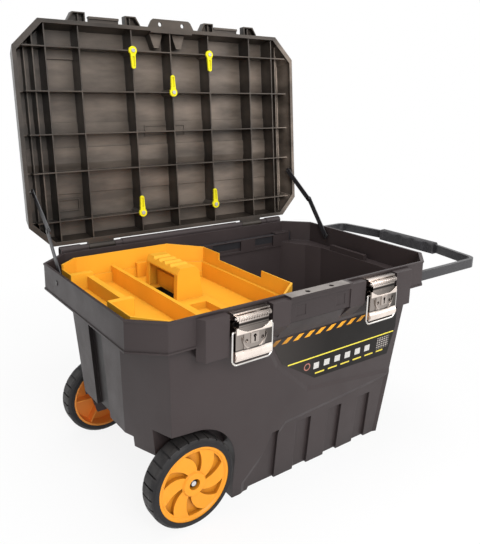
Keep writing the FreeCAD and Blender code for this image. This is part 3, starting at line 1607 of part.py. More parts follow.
def make_latch(name, side):
    middle = side * s.latch_x
    pin_y = -block_front - s.latch_out
    wall_y = -half_depth
    half = s.latch_half
    pin_hole = s.latch_pin_radius + s.shaft_clearance / 2

    def across(inner, outer):
        return [(middle - outer, middle - inner), (middle + inner, middle + outer)]

    lever_x = (middle - half, middle + half)
    plate_x = (middle - s.cheek_outside, middle + s.cheek_outside)
    base = [
        block("latch_plate", plate_x, (wall_y - s.plate_thick, wall_y), (plate_low, shelf_high)),
        block("latch_shelf", lever_x, (-block_front, wall_y), (shelf_low, shelf_high)),
    ]
    cheek_z = (latch_pin_z - s.latch_knuckle, latch_pin_z + s.latch_knuckle)
    for x in across(s.cheek_inside, s.cheek_outside):
        base.append(block("latch_cheek", x, (pin_y, wall_y), cheek_z))
        base.append(rod("cheek_round", "x", (pin_y, latch_pin_z), s.latch_knuckle, x))
    whole = (middle - half - 1, middle + half + 1)
    base_holes = [rod("cheek_hole", "x", (pin_y, latch_pin_z), pin_hole, whole)]
    for rivet in (-1, 1):
        place = (middle + rivet * s.rivet_x, rivet_z)
        bore = s.rivet_radius + s.shaft_clearance / 2
        base_holes.append(rod("plate_hole", "y", place, bore, (wall_y - 5, wall_y + 1)))
    label = "latch_base_" + name
    keep(cut(label, fuse(label + "_whole", base), base_holes), label)

    front = pin_y - s.lever_plate - 1
    back = front + s.lever_plate
    shoulder = latch_pin_z - s.lever_shoulder
    neck_x = (middle - s.knuckle_half, middle + s.knuckle_half)
    lever = [
        block("lever_plate", lever_x, (front, back), (lever_low, shoulder)),
        block("lever_neck", neck_x, (front + 1, back), (shoulder - 1, latch_pin_z)),
        rod("lever_knuckle", "x", (pin_y, latch_pin_z), s.latch_knuckle, neck_x),
    ] + lever_front(middle, front)
    for x in across(half - 3, half):
        lever.append(block("lever_side", x, (front, back + 7), (lever_low, shoulder)))
    bail_z = latch_pin_z - s.bail_drop
    key_z = shoulder - 18
    through = (front - 4, back + 1)
    holes = [
        rod("knuckle_hole", "x", (pin_y, latch_pin_z), pin_hole, whole),
        rod("bail_hole", "x", (pin_y, bail_z), s.bail_radius + s.shaft_clearance, whole),
        rod("keyhole", "y", (middle, key_z), s.keyhole_radius, through),
        block("key_slot", (middle - 1.5, middle + 1.5), through, (key_z - 10, key_z)),
    ] + knuckle_grooves(middle, pin_y)
    for dimple in (-1, 1):
        place = (middle + dimple * 16, key_z - 6)
        holes.append(rod("lever_dimple", "y", place, 3.2, (front - 5, front + 1)))
    label = "latch_lever_" + name
    keep(cut(label, fuse(label + "_whole", lever), holes), label)
    pin = rod("latch_pin_" + name, "x", (pin_y, latch_pin_z), s.latch_pin_radius, lever_x)
    keep(pin, "latch_pin_" + name)

    low = bail_z - s.bail_length
    bend = 6
    stub = half - 5
    points = [
        (middle + stub, bail_z),
        (middle + s.bail_half, bail_z),
        (middle + s.bail_half, low + bend),
        (middle + s.bail_half - bend, low),
        (middle - s.bail_half + bend, low),
        (middle - s.bail_half, low + bend),
        (middle - s.bail_half, bail_z),
        (middle - stub, bail_z),
    ]
    start = Placement(Vector((middle + stub).value, pin_y.value, bail_z.value), TURNS["x"])
    keep(wire("latch_bail_" + name, "y", points, pin_y, s.bail_radius, start), "latch_bail_" + name)


def make_latches():
    make_latch("left", -1)
    make_latch("right", 1)
    rivets = []
    for side in (-1, 1):
        for rivet in (-1, 1):
            place = (side * s.latch_x + rivet * s.rivet_x, rivet_z)
            rivets.append(rod("rivet", "y", place, s.rivet_radius, (-half_depth - 4, -half_depth + s.wall)))
            head = (-half_depth - s.plate_thick - 1.4, -half_depth - s.plate_thick)
            rivets.append(rod("rivet_head", "y", place, s.rivet_radius * 1.8, head))
    keep(fuse("latch_rivets", rivets), "latch_rivets")


# Tray
tray_left = s.tray_end_gap - half_length
tray_half = curb_inside - s.tray_side_gap
tray_top = s.rim_height - s.tray_drop
tray_floor = tray_top - s.tray_depth
divider_top = tray_top - s.divider_drop
arch_top = tray_top + s.arch_rise


def tray_outline(shrink, inset):
    """Plan outline of the tray; shrink draws the lower part in, inset leaves the wall."""
    left = tray_left + shrink + inset
    right = s.tray_right - shrink / 2 - inset
    half = tray_half - shrink / 3 - inset
    slack = inset * 0.4
    return [
        (left + s.tray_front_left_cut - shrink + slack, -half),
        (right - s.tray_front_right_cut - slack, -half),
        (right, -half + s.tray_front_right_side + slack),
        (right, half - s.tray_rear_right_side - slack),
        (right - s.tray_rear_right_cut - slack, half),
        (left + s.tray_rear_left_cut - shrink / 2 + slack, half),
        (left, half - s.tray_rear_left_side - shrink * 2 - slack),
        (left, -half + s.tray_front_left_side + shrink / 4 + slack),
    ]


def rear_rise():
    """The rear wall and both rear corners stand higher, and the right corner slopes down again."""
    outer = tray_outline(0, 0)
    inner = tray_outline(0, s.tray_wall)
    top = tray_top + s.tray_rear_rise
    names = ("rise_right", "rise_rear", "rise_left")
    pieces = []
    for n, name in enumerate(names, 3):
        points = [outer[n], outer[n + 1], inner[n + 1], inner[n]]
        pieces.append(prism(name, "z", points, (tray_top - 1, top)))
    start, end = outer[4][0], outer[3][0]
    above = top + 1
    slope = prism("rise_slope", "y", [(start, top), (end + 1, tray_top), (end + 1, above), (start, above)],
                  (tray_half / 2, tray_half + 1))
    return cut("rear_rise", fuse("rise_pieces", pieces), [slope])


def tray_shell():
    """The walls and floor: a wide rim, a narrower lower part and a deeper pan along the right."""
    step = ledge + s.seam_gap
    wall = s.tray_wall
    floor = tray_floor + wall
    pan_low = tray_floor - s.pan_drop
    pan_right = s.tray_right - s.tray_step / 2
    outside = fuse(
        "tray_outside",
        [
            prism("tray_upper", "z", tray_outline(0, 0), (step, tray_top)),
            prism("tray_lower", "z", tray_outline(s.tray_step, 0), (tray_floor, step + wall)),
            block("tray_pan", (s.pan_left, pan_right), (-s.pan_front, s.pan_rear), (pan_low, floor)),
            block("bulge", (s.bulge_left, s.bulge_right), (s.slide_gap - curb_outside, -tray_half + 1),
                  (curb_top, tray_top)),
            rear_rise(),
        ],
    )
    pan_y = (wall - s.pan_front, s.pan_rear - wall)
    bulge_x = (s.bulge_left + wall, s.bulge_right - wall)
    bulge_y = (s.slide_gap + wall - curb_outside, wall + 1 - tray_half)
    room = fuse(
        "tray_room",
        [
            prism("tray_upper_room", "z", tray_outline(0, wall), (step + wall, tray_top + 5)),
            prism("tray_lower_room", "z", tray_outline(s.tray_step, wall), (floor, step + wall + 1)),
            block("tray_pan_room", (s.pan_left + wall, pan_right - wall), pan_y, (pan_low + wall, floor + 1)),
            block("bulge_room", bulge_x, bulge_y, (curb_top + wall, tray_top + 1)),
        ],
    )
    return cut("tray_shell", outside, [room])


def tray_trough():
    """The trough along the left side: what is added and what is cut."""
    step = ledge + s.seam_gap
    wall = s.tray_wall
    left = tray_left
    inner = left + s.trough_run
    right = inner + s.trough_wall
    low_y, high_y = -s.trough_front, s.trough_rear
    end_y = (low_y - s.trough_wall, high_y + s.trough_wall)
    top = tray_top - s.trough_inner_drop
    added = [
        block("trough_wall", (inner, right), end_y, (tray_floor, top)),
        block("trough_floor", (left + 1, inner + 1), end_y, (step, step + wall)),
    ]
    room_y = (end_y[0] + wall, end_y[1] - wall)
    rim_z = (tray_top - s.trough_outer_drop, tray_top + 1)
    room_x = (left + wall, right - wall)
    under_x = (left + s.tray_step + wall, right - wall)
    holes = [
        block("trough_under", (left + s.tray_step - 1, right - wall), room_y, (tray_floor - 1, step)),
        block("trough_wall_room", (inner + wall, right - wall), room_y, (tray_floor - 1, top - wall)),
        block("trough_rim", (left - 1, left + wall + 1), (low_y, high_y), rim_z),
    ]
    for y in ((end_y[0], low_y), (high_y, end_y[1])):
        added.append(block("trough_end", (left + 1, right), y, (step, tray_top)))
        added.append(block("trough_end_low", (left + s.tray_step, right), y, (tray_floor, step + 1)))
        inside_y = (y[0] + wall, y[1] - wall)
        holes.append(block("trough_end_room", room_x, inside_y, (step - 1, tray_top - wall)))
        holes.append(block("trough_end_under", under_x, inside_y, (tray_floor - 1, step)))
    return added, holes


def tray_arch():
    """The lifting handle that stands on the floor: what is added and what is cut."""
    wall = s.tray_wall
    floor = tray_floor + wall
    low_y, high_y = s.arch_y - s.arch_length / 2, s.arch_y + s.arch_length / 2
    middle = s.arch_x

    def arch_view(inset, low):
        return [
            (middle - s.arch_foot_left + inset, low),
            (middle - s.arch_shoulder_left + inset, arch_top - s.arch_left_fall),
            (middle - s.arch_top_left + inset * 0.6, arch_top - inset),
            (middle + s.arch_top_right - inset * 0.6, arch_top - inset),
            (middle + s.arch_shoulder_right - inset, arch_top - s.arch_right_fall),
            (middle + s.arch_foot_right - inset, low),
        ]

    gap_y = (low_y + s.arch_leg, high_y - s.arch_leg)
    gap_z = (floor, arch_top - s.arch_grip)
    whole = prism("handle_arch", "y", arch_view(0, floor - 1), (low_y, high_y))
    room = prism("arch_room", "y", arch_view(wall, tray_floor - 1), (low_y + wall, high_y - wall))
    wide = (middle - s.arch_foot_left - 10, middle + s.arch_foot_right + 10)
    cap = block("arch_cap", wide, (low_y, high_y), (arch_top - s.arch_cap - wall, arch_top + 1))
    gap = block("finger_gap", wide, gap_y, gap_z)
    rail_x = (middle - s.rail_left, middle + s.rail_right)
    rail_top = arch_top - s.arch_rail_drop
    rail = block("arch_rail", rail_x, (gap_y[0] - 1, gap_y[1] + 1), (floor - 1, rail_top))
    rail_room_x = (middle - s.rail_left + wall, middle + s.rail_right - wall)
    rail_room = block("rail_room", rail_room_x, gap_y, (tray_floor - 1, rail_top - wall))
    slot_x = (middle - s.floor_slot_left, middle - s.floor_slot_right)
    slot_y = (gap_y[0] - s.floor_slot_front, gap_y[1] - s.floor_slot_rear)
    added = [cut("arch_shell", whole, [cut("arch_hollow", room, [cap]), gap]), rail]
    holes = [
        block("floor_slot", slot_x, slot_y, (tray_floor - 1, floor + 1)),
        rail_room,
    ]
    for n in range(SIZES["finger_count"]):
        place = (low_y + s.finger_first + s.finger_pitch * n, arch_top + s.finger_rise)
        holes.append(rod("finger_flute", "x", place, s.finger_radius, wide))
    return added, holes


def make_tray():
    wall = s.tray_wall
    floor = tray_floor + wall
    low = floor - 1
    inside = tray_half - s.tray_step / 3 - 1
    pieces = [tray_shell()]
    for y in mirrored(tray_half - wall, curb_outside - s.slide_gap):
        pieces.append(block("tray_lug", (s.tray_lug_left, s.tray_lug_right), y, (curb_top, curb_top + wall)))
    half = s.divider_thick / 2
    divider_x = (s.divider_x - half, s.divider_x + half)
    pieces.append(block("long_divider", divider_x, (-inside, inside + 3), (low, divider_top)))
    post_x = (s.post_left, s.post_right)
    post_top = tray_top - s.post_drop
    pieces.append(block("rear_post", post_x, (inside - 8, inside + 3), (low, post_top)))
    pocket_x = (s.pocket_left, s.pocket_right)
    pocket_y = (-s.pocket_front, -s.pocket_rear)
    pieces.append(block("pocket", pocket_x, pocket_y, (tray_floor - s.pan_drop, floor)))
    trough_added, trough_holes = tray_trough()
    arch_added, arch_holes = tray_arch()
    pieces += trough_added + arch_added
    right = s.tray_right
    room_x = (s.pocket_left + wall, s.pocket_right - wall)
    room_y = (wall - s.pocket_front, -wall - s.pocket_rear)
    dip_z = (tray_top - s.dip_drop, tray_top + 1)
    holes = [
        block("divider_room", (divider_x[0] + wall, divider_x[1] - wall), (wall - inside, inside - wall),
              (tray_floor - 1, divider_top - wall)),
        block("post_room", (s.post_left + wall, s.post_right - wall), (inside - 8 + wall, inside),
              (tray_floor - 1, post_top - wall)),
        block("pocket_room", room_x, room_y, (tray_floor - s.pan_drop + wall, floor + 1)),
        block("right_dip", (right - 5, right + 1), (-s.dip_front, s.dip_rear), dip_z),
    ]
    holes += trough_holes + arch_holes
    keep(cut("tray", fuse("tray_walls", pieces), holes), "tray")


make_tub()
make_label()
make_wheels()
make_handle()
make_hinge_pins()
make_lid()
make_clips()
make_stays()
make_latches()
make_tray()
doc.recompute()

for thing in doc.Objects:
    if "Invalid" in thing.State or "Error" in thing.State:
        raise RuntimeError("%s did not rebuild" % thing.Label)
os.makedirs("parts", exist_ok=True)
for thing in kept:
    if thing.Shape.isNull() or not thing.Shape.isValid():
        raise RuntimeError("%s has no valid shape" % thing.Label)
    thing.Shape.exportStep("parts/%s.step" % thing.Label)
    box = thing.Shape.BoundBox
    print("%-24s %2d solids %8.1f cm3" % (thing.Label, len(thing.Shape.Solids), thing.Shape.Volume / 1000),
          "x %.1f..%.1f y %.1f..%.1f z %.1f..%.1f"
          % (box.XMin, box.XMax, box.YMin, box.YMax, box.ZMin, box.ZMax))
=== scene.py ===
# %% [markdown]
# # A wheeled plastic tool box
# This lesson dresses a plastic tool box on two wheels, with its lid open, in Blender. The exact shapes come
# from a CAD model, which is the frame here: every piece is in its place already, and moves with its own
# body. What is left for Blender is what a workshop would call the finish: the grain of the moulded plastic,
# the shine of the steel, the print on the label, and the light that shows them.

import math

import bpy
from mathutils import Matrix, Vector


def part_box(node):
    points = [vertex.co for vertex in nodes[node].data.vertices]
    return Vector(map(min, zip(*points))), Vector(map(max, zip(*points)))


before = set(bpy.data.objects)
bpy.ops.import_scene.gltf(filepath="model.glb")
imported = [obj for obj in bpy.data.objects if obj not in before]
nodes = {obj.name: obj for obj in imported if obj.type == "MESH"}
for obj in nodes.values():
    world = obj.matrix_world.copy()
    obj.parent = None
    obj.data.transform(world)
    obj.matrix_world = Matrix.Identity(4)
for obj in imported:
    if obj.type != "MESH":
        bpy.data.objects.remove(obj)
scene = bpy.context.scene
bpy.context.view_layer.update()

# %% [markdown]
# ## The camera
# The box was photographed from its front left corner, a little from above. A camera could be placed by eye,
# but straight edges of a known size fix it much better: the rim, the base and the lid give its place, its
# two angles and its focal length. The picture's middle lies off the lens's axis, as in a cropped
# photograph, and the shift does the same here.

# %% Camera
PICTURE = (480, 544)
FOCAL_PIXELS = 602.4
AXIS_PIXEL = (246.8, 235.2)
FILM_WIDTH = 36
CAMERA_PLACE = (-0.70012, -0.94336, 0.72891)
# angles in radians: about the upright, below the level, and about the line of sight
TURN, DOWN, TILT = 0.64578, 0.24386, 0.02196

ahead = Vector((math.sin(TURN) * math.cos(DOWN), math.cos(TURN) * math.cos(DOWN), -math.sin(DOWN)))
level = Vector((math.cos(TURN), -math.sin(TURN), 0))
upright = level.cross(ahead)
right = level * math.cos(TILT) + upright * math.sin(TILT)
up = upright * math.cos(TILT) - level * math.sin(TILT)

lens = bpy.data.cameras.new("photo_camera")
lens.sensor_width = FILM_WIDTH
lens.lens = FOCAL_PIXELS * FILM_WIDTH / PICTURE[1]
lens.shift_x = (PICTURE[0] / 2 - AXIS_PIXEL[0]) / PICTURE[1]
lens.shift_y = -(PICTURE[1] / 2 - AXIS_PIXEL[1]) / PICTURE[1]
camera = bpy.data.objects.new("photo_camera", lens)
looking = Matrix((right, up, -ahead)).transposed().to_4x4()
camera.matrix_world = Matrix.Translation(CAMERA_PLACE) @ looking
scene.collection.objects.link(camera)
scene.camera = camera
print("lens: %.1f mm, shift %.4f %.4f" % (lens.lens, lens.shift_x, lens.shift_y))

# %% [markdown]
# ## Nodes in a few words
# Every finish below is a small network of shader nodes. Linking them one by one takes many lines, so short
# helpers make a material, add a node to it and name the usual ones. An input may be a number, a colour or
# the output of another node.


# %% Helpers for materials
def fresh_material(name):
    made = bpy.data.materials.new(name)
    made.use_nodes = True
    return made, made.node_tree, made.node_tree.nodes["Principled BSDF"]


def set_input(tree, socket, value):
    if isinstance(value, bpy.types.NodeSocket):
        tree.links.new(value, socket)
    else:
        socket.default_value = value


def add_node(tree, kind, inputs, result=0, **settings):
    """Adds a shader node and gives one of its outputs."""
    made = tree.nodes.new("ShaderNode" + kind)
    for name, value in settings.items():
        setattr(made, name, value)
    for name, value in inputs.items():
        set_input(tree, made.inputs[name], value)
    return made.outputs[result]


def where(tree):
    """The point's place on the box at rest, in metres: it rides along when the piece moves."""
    return add_node(tree, "TexCoord", {}, "Object")


def noise(tree, place, scale, detail=2.0, roughness=0.5):
    inputs = {"Vector": place, "Scale": scale, "Detail": detail, "Roughness": roughness}
    return add_node(tree, "TexNoise", inputs, "Fac")


def stretch(tree, place, scale):
    return add_node(tree, "Mapping", {"Vector": place, "Scale": scale})


def spread(tree, value, low, high, to_low=0.0, to_high=1.0):
    inputs = {"Value": value, "From Min": low, "From Max": high, "To Min": to_low, "To Max": to_high}
    return add_node(tree, "MapRange", inputs)


def count(tree, operation, first, second=0.0):
    return add_node(tree, "Math", {0: first, 1: second}, operation=operation)


def product(tree, *factors):
    result = factors[0]
    for factor in factors[1:]:
        result = count(tree, "MULTIPLY", result, factor)
    return result


def largest(tree, *values):
    result = values[0]
    for value in values[1:]:
        result = count(tree, "MAXIMUM", result, value)
    return result


def between(tree, value, low, high, soft=0.0004):
    """1 inside a stretch and 0 outside it, with a soft or sharp edge."""
    enter = spread(tree, value, low - soft, low + soft)
    leave = spread(tree, value, high - soft, high + soft, 1.0, 0.0)
    return product(tree, enter, leave)


def axes(tree, vector):
    """The three parts of a vector, each as an output of its own."""
    split = add_node(tree, "SeparateXYZ", {"Vector": vector}).node
    return split.outputs["X"], split.outputs["Y"], split.outputs["Z"]


def along_line(tree, vector, direction):
    """How far a vector reaches along a direction."""
    return add_node(tree, "VectorMath", {0: vector, 1: direction}, "Value", operation="DOT_PRODUCT")


def masked(tree, vector, mask):
    return add_node(tree, "VectorMath", {0: vector, 1: mask}, operation="MULTIPLY")


def length(tree, vector):
    return add_node(tree, "VectorMath", {0: vector}, "Value", operation="LENGTH")


def scaled(tree, tone, factor):
    """A colour made darker or lighter by a factor."""
    return add_node(tree, "VectorMath", {0: tone, "Scale": factor}, "Vector", operation="SCALE")


def blend_colours(tree, amount, first, second):
    return add_node(tree, "Mix", {0: amount, 6: first, 7: second}, 2, data_type="RGBA")


def rgb(red, green, blue):
    return (red, green, blue, 1.0)


def shade(colour, factor):
    return rgb(*[min(1.0, part * factor) for part in colour[:3]])


print("helpers ready")

# %% [markdown]
# ## Moulded plastic
# The tub, the lid and the tray are injection moulded from polypropylene. Three things make it look moulded
# and not painted: a fine spark-eroded grain from the steel mould, a slow drift of tone where the melt
# flowed, and edges that are a little lighter, because they are rounded and get rubbed. The grain is a bump
# far too small to model. The edges come from the Bevel node, which rounds the shading, and from how far it
# turns the normal there.


# %% Moulded plastic
def round_edges(tree, radius):
    return add_node(tree, "Bevel", {"Radius": radius}, samples=4)


def roughen(tree, shader, strength, depth, height, rounded=None):
    """Gives the surface a fine relief, with its depth in metres, on the rounded normal if there is one."""
    bump = {"Strength": strength, "Distance": depth, "Height": height}
    if rounded is not None:
        bump["Normal"] = rounded
    set_input(tree, shader.inputs["Normal"], add_node(tree, "Bump", bump))


def worn_edges(tree, place, radius):
    """The rounded normal, and how much a point lies on an edge, broken up as wear is."""
    rounded = round_edges(tree, radius)
    flat = add_node(tree, "NewGeometry", {}, "Normal")
    edge = spread(tree, along_line(tree, rounded, flat), 0.99, 0.86)
    patches = spread(tree, noise(tree, place, 60.0, 3.0), 0.35, 0.62)
    return rounded, product(tree, edge, patches)


def painted_corner_shade(tree, reach):
    """How closed in a point is, for the painted shade in corners: 0 on an open face and 1 deep in a corner.
    """
    open_share = add_node(tree, "AmbientOcclusion", {"Distance": reach}, "AO", samples=6)
    return spread(tree, open_share, 0.95, 0.25)


CORNER_REACH = 0.035
PLASTIC_IOR = 1.49
# a dark plastic rubs much paler than a bright one; the sum of its three parts tells which it is
DARK_SUM, DARK_RUBBED, LIGHT_RUBBED = 0.6, 1.9, 1.25


def moulded(name, colour, roughness, grain=0.3, rubbed=0.35, edge_radius=0.0012, shine=0.3, corner_shade=0.45,
            painted_light=None):
    """Plastic of a colour: grain, edges rubbed pale, painted shade in corners, and any painted light on its
    tone.
    """
    made, tree, shader = fresh_material(name)
    place = where(tree)
    rounded, wear = worn_edges(tree, place, edge_radius)
    drift = spread(tree, noise(tree, stretch(tree, place, (1.0, 1.0, 0.4)), 7.0, 3.0), 0.3, 0.7)
    tone = blend_colours(tree, drift, shade(colour, 0.92), shade(colour, 1.08))
    # painted shade: closed-in corners and hollows are darkened towards a third of the colour
    closed = product(tree, painted_corner_shade(tree, CORNER_REACH), corner_shade)
    tone = blend_colours(tree, closed, tone, shade(colour, 0.3))
    # painted light and shade, if the finish has any, laid on the tone by place
    if painted_light:
        tone = painted_light(tree, place, tone)
    lighter = shade(colour, DARK_RUBBED if sum(colour[:3]) < DARK_SUM else LIGHT_RUBBED)
    tone = blend_colours(tree, product(tree, wear, rubbed), tone, lighter)
    set_input(tree, shader.inputs["Base Color"], tone)
    gloss = spread(tree, noise(tree, place, 22.0, 4.0), 0.3, 0.7, roughness - 0.06, roughness + 0.06)
    set_input(tree, shader.inputs["Roughness"], gloss)
    roughen(tree, shader, grain, 0.0003, noise(tree, place, 1400.0, 2.0, 0.6), rounded)
    shader.inputs["IOR"].default_value = PLASTIC_IOR
    shader.inputs["Specular IOR Level"].default_value = shine
    return made


CHARCOAL = rgb(0.044, 0.033, 0.033)
# the pale colour of the painted highlight on the raised block's top
BLOCK_TOP_HIGHLIGHT = rgb(0.30, 0.27, 0.25)
# the bright orange painted on the rear rim's inner face as painted light
PAINTED_LIGHT_ORANGE = rgb(1.0, 0.36, 0.07)
# the way into the open lid, and how far along it the ribs' edges and the panel lie
INTO_LID = (0.0, 0.9956, -0.0941)
LID_EDGE, LID_PANEL = 0.199, 0.222
# between these places along the box the lid's inside grows lighter as painted light, and its right end wall
# most of all
LID_LEFT, LID_RIGHT = -0.30, 0.26
LID_END_WALL = (0.285, 0.325)
# the raised block at the front, painted darker as shade: out, along and up, then the height of its top, which
# gets a painted highlight
BLOCK_OUT, BLOCK_ALONG, BLOCK_FOOT = (-0.26, -0.20), (-0.072, 0.066), (0.305, 0.312)
BLOCK_TOP = (0.384, 0.386)
# the left end: where it starts along the box, where its painted shade sets in, and the groove in it, which is
# painted dark
LEFT_END, LEFT_SHADE, GROOVE_TOP, GROOVE_WIDE = (-0.270, -0.280), (-0.340, -0.290), (0.326, 0.322), 0.0295
# across the box, where the rear rim's inner face lies, which gets painted light
REAR_RIM_INSIDE = (0.10, 0.190)


def lid_painted_light(tree, place, tone):
    """Painted light inside the lid: shaded rib sides, darker near the rim, cloudy sheen, lighter to the
    right; plain back.
    """
    normal = add_node(tree, "TexCoord", {}, "Normal")
    facing = along_line(tree, normal, INTO_LID)
    # painted shade: the ribs' sides, which don't look into the lid, go darker
    panel = spread(tree, count(tree, "ABSOLUTE", facing), 0.3, 0.9, 0.34, 1.0)
    inner = spread(tree, along_line(tree, place, INTO_LID), LID_EDGE, LID_PANEL, 0.35, 1.0)
    clouds = noise(tree, stretch(tree, place, (0.6, 1.0, 2.2)), 9.0, 4.0, 0.6)
    # painted sheen: cloudy lighter and darker streaks on the panel
    painted_sheen = spread(tree, clouds, 0.36, 0.66, 0.62, 1.45)
    along, _, _ = axes(tree, place)
    # painted light: lighter towards the right, and much lighter on the right end wall
    inside = spread(tree, along, LID_LEFT, LID_RIGHT, 0.90, 1.55)
    end_wall_light = spread(tree, along, *LID_END_WALL, 1.0, 2.5)
    lit_and_shaded_inside = scaled(tree, tone, product(tree, panel, inner, painted_sheen, inside, end_wall_light))
    back = spread(tree, facing, 0.25, 0.45)
    plain = blend_colours(tree, clouds, shade(CHARCOAL, 0.9), shade(CHARCOAL, 1.1))
    return blend_colours(tree, back, lit_and_shaded_inside, plain)


def body_painted_light(tree, place, tone):
    """Painted shade on the raised block at the front, the left end and its groove, and a painted highlight on
    the block's top.
    """
    along, out, height = axes(tree, place)
    _, _, up_part = axes(tree, add_node(tree, "TexCoord", {}, "Normal"))
    facing_up = spread(tree, up_part, 0.80, 0.95)
    middle = product(tree, between(tree, out, *BLOCK_OUT), between(tree, along, *BLOCK_ALONG, 0.001))
    block = product(tree, middle, spread(tree, height, *BLOCK_FOOT))
    # painted highlight on the block's top, broken up by the clouds below
    pale = product(tree, middle, facing_up, spread(tree, height, *BLOCK_TOP))
    clouds = spread(tree, noise(tree, place, 30.0, 3.0), 0.3, 0.7, 0.55, 0.95)
    left_end = product(tree, spread(tree, along, *LEFT_END), spread(tree, height, *GROOVE_TOP))
    groove = product(tree, left_end, between(tree, out, -GROOVE_WIDE, GROOVE_WIDE, 0.001))
    # painted shade: the left end darker, the raised block darker, and the groove much darker
    end_shade = spread(tree, along, *LEFT_SHADE, 0.80, 1.0)
    block_shade = spread(tree, block, 0.0, 1.0, 1.0, 0.82)
    groove_shade = spread(tree, groove, 0.0, 1.0, 1.0, 0.35)
    shaded_body = scaled(tree, tone, product(tree, end_shade, block_shade, groove_shade))
    return blend_colours(tree, product(tree, pale, clouds), shaded_body, BLOCK_TOP_HIGHLIGHT)


def rim_painted_light(tree, place, tone):
    """Painted light on the inner face of the rear rim, which lies in shade: it is lightened towards a
    brighter, redder orange.
    """
    _, out, _ = axes(tree, place)
    inner_face = between(tree, out, *REAR_RIM_INSIDE)
    return blend_colours(tree, product(tree, inner_face, 0.85), tone, PAINTED_LIGHT_ORANGE)


# the lid's inside: the body's charcoal painted about three times lighter and warmer, as painted light; its
# rib sides and its outside come back to the body's tone
LIT_LID_CHARCOAL = rgb(0.130, 0.104, 0.084)
SIGNAL_ORANGE = rgb(0.94, 0.45, 0.034)
RIM_ORANGE = rgb(0.90, 0.34, 0.020)
CLIP_YELLOW = rgb(0.90, 0.82, 0.012)
body_plastic = moulded("charcoal_body", CHARCOAL, 0.44, painted_light=body_painted_light)
lid_plastic = moulded("charcoal_lid", LIT_LID_CHARCOAL, 0.34, shine=0.35, corner_shade=0.8, painted_light=lid_painted_light)
tray_plastic = moulded("orange_tray", SIGNAL_ORANGE, 0.42, grain=0.18, rubbed=0.25)
rim_plastic = moulded("orange_rim", RIM_ORANGE, 0.40, grain=0.15, rubbed=0.2, corner_shade=0.75, painted_light=rim_painted_light)
clip_plastic = moulded("yellow_clip", CLIP_YELLOW, 0.34, grain=0.1, rubbed=0.1, edge_radius=0.0006)
print("plastics: 5")

# %% [markdown]
# ## Tyres
# The wheels are shod with a hard black rubber-like plastic. Its side has fine rings from turning the mould,
# and it is dusty where it rolls: a distance from the axle, through a sine, gives the rings, and the same
# distance gives the dusty band.


# %% Tyre rubber
tyre_low, tyre_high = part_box("wheel_tyre_front")
AXLE = ((tyre_low[0] + tyre_high[0]) / 2, 0.0, (tyre_low[2] + tyre_high[2]) / 2)
RING_PITCH = 0.0024
# the radii between which the dust of the floor sets in
DUSTY_FROM, DUSTY_FULL = 0.0765, 0.080
TYRE_BLACK, TYRE_DUST = rgb(0.012, 0.011, 0.012), rgb(0.042, 0.038, 0.036)


def from_axle(tree, place):
    """The distance from the line of the axle."""
    out = add_node(tree, "VectorMath", {0: place, 1: AXLE}, operation="SUBTRACT")
    return length(tree, masked(tree, out, (1.0, 0.0, 1.0)))


def tyre_rubber():
    made, tree, shader = fresh_material("tyre_rubber")
    place = where(tree)
    radius = from_axle(tree, place)
    rings = count(tree, "SINE", product(tree, radius, 2 * math.pi / RING_PITCH))
    height = count(tree, "ADD", product(tree, rings, 0.35), noise(tree, place, 900.0, 3.0, 0.6))
    patchy = spread(tree, noise(tree, place, 45.0, 4.0), 0.3, 0.75)
    dusty = product(tree, spread(tree, radius, DUSTY_FROM, DUSTY_FULL), patchy)
    set_input(tree, shader.inputs["Base Color"], blend_colours(tree, dusty, TYRE_BLACK, TYRE_DUST))
    set_input(tree, shader.inputs["Roughness"], spread(tree, noise(tree, place, 60.0), 0.3, 0.7, 0.42, 0.62))
    roughen(tree, shader, 0.35, 0.0004, height)
    shader.inputs["Specular IOR Level"].default_value = 0.3
    return made


tyre_plastic = tyre_rubber()
print("tyre rubber made")

# %% [markdown]
# ## Metal
# The latches are pressed from thin steel and plated bright. Plating shows as metal whose roughness varies
# in fine lines along the way it was polished. The screws and the axle are the same steel, duller. The hinge
# pins, the rivets of the latches and the pins of the stays are blackened.


# %% Plated steel, wire and pins
def metal(name, colour, low, high, lines, strength, painted_light=None):
    """Metal whose roughness goes from low to high in fine lines, along the axis where they are drawn out."""
    made, tree, shader = fresh_material(name)
    place = where(tree)
    brushed = noise(tree, stretch(tree, place, lines), 400.0, 3.0, 0.6)
    cloudy = noise(tree, place, 30.0, 3.0)
    tone = blend_colours(tree, spread(tree, cloudy, 0.3, 0.7), shade(colour, 0.85), shade(colour, 1.1))
    # painted reflection or shade, if the finish has any, laid on the tone by place
    if painted_light:
        tone = painted_light(tree, place, tone)
    set_input(tree, shader.inputs["Base Color"], tone)
    shader.inputs["Metallic"].default_value = 1.0
    set_input(tree, shader.inputs["Roughness"], spread(tree, brushed, 0.25, 0.75, low, high))
    roughen(tree, shader, strength, 0.0002, brushed, round_edges(tree, 0.0008))
    return made


# the middles of the latches lie this far left and right, and their levers' flat face this far out
LATCH_X = 0.153
LATCH_FACE = -0.243
# heights on the lever, from its top down, where its painted reflections lie: the rolled edge, the neck, the
# crown, the foot and its groove
ROLL, NECK, CROWN, FOOT = (0.3700, 0.3715), (0.3662, 0.3700), (0.3505, 0.3530), (0.3255, 0.3235)
FOOT_GROOVE = (0.3245, 0.3265)


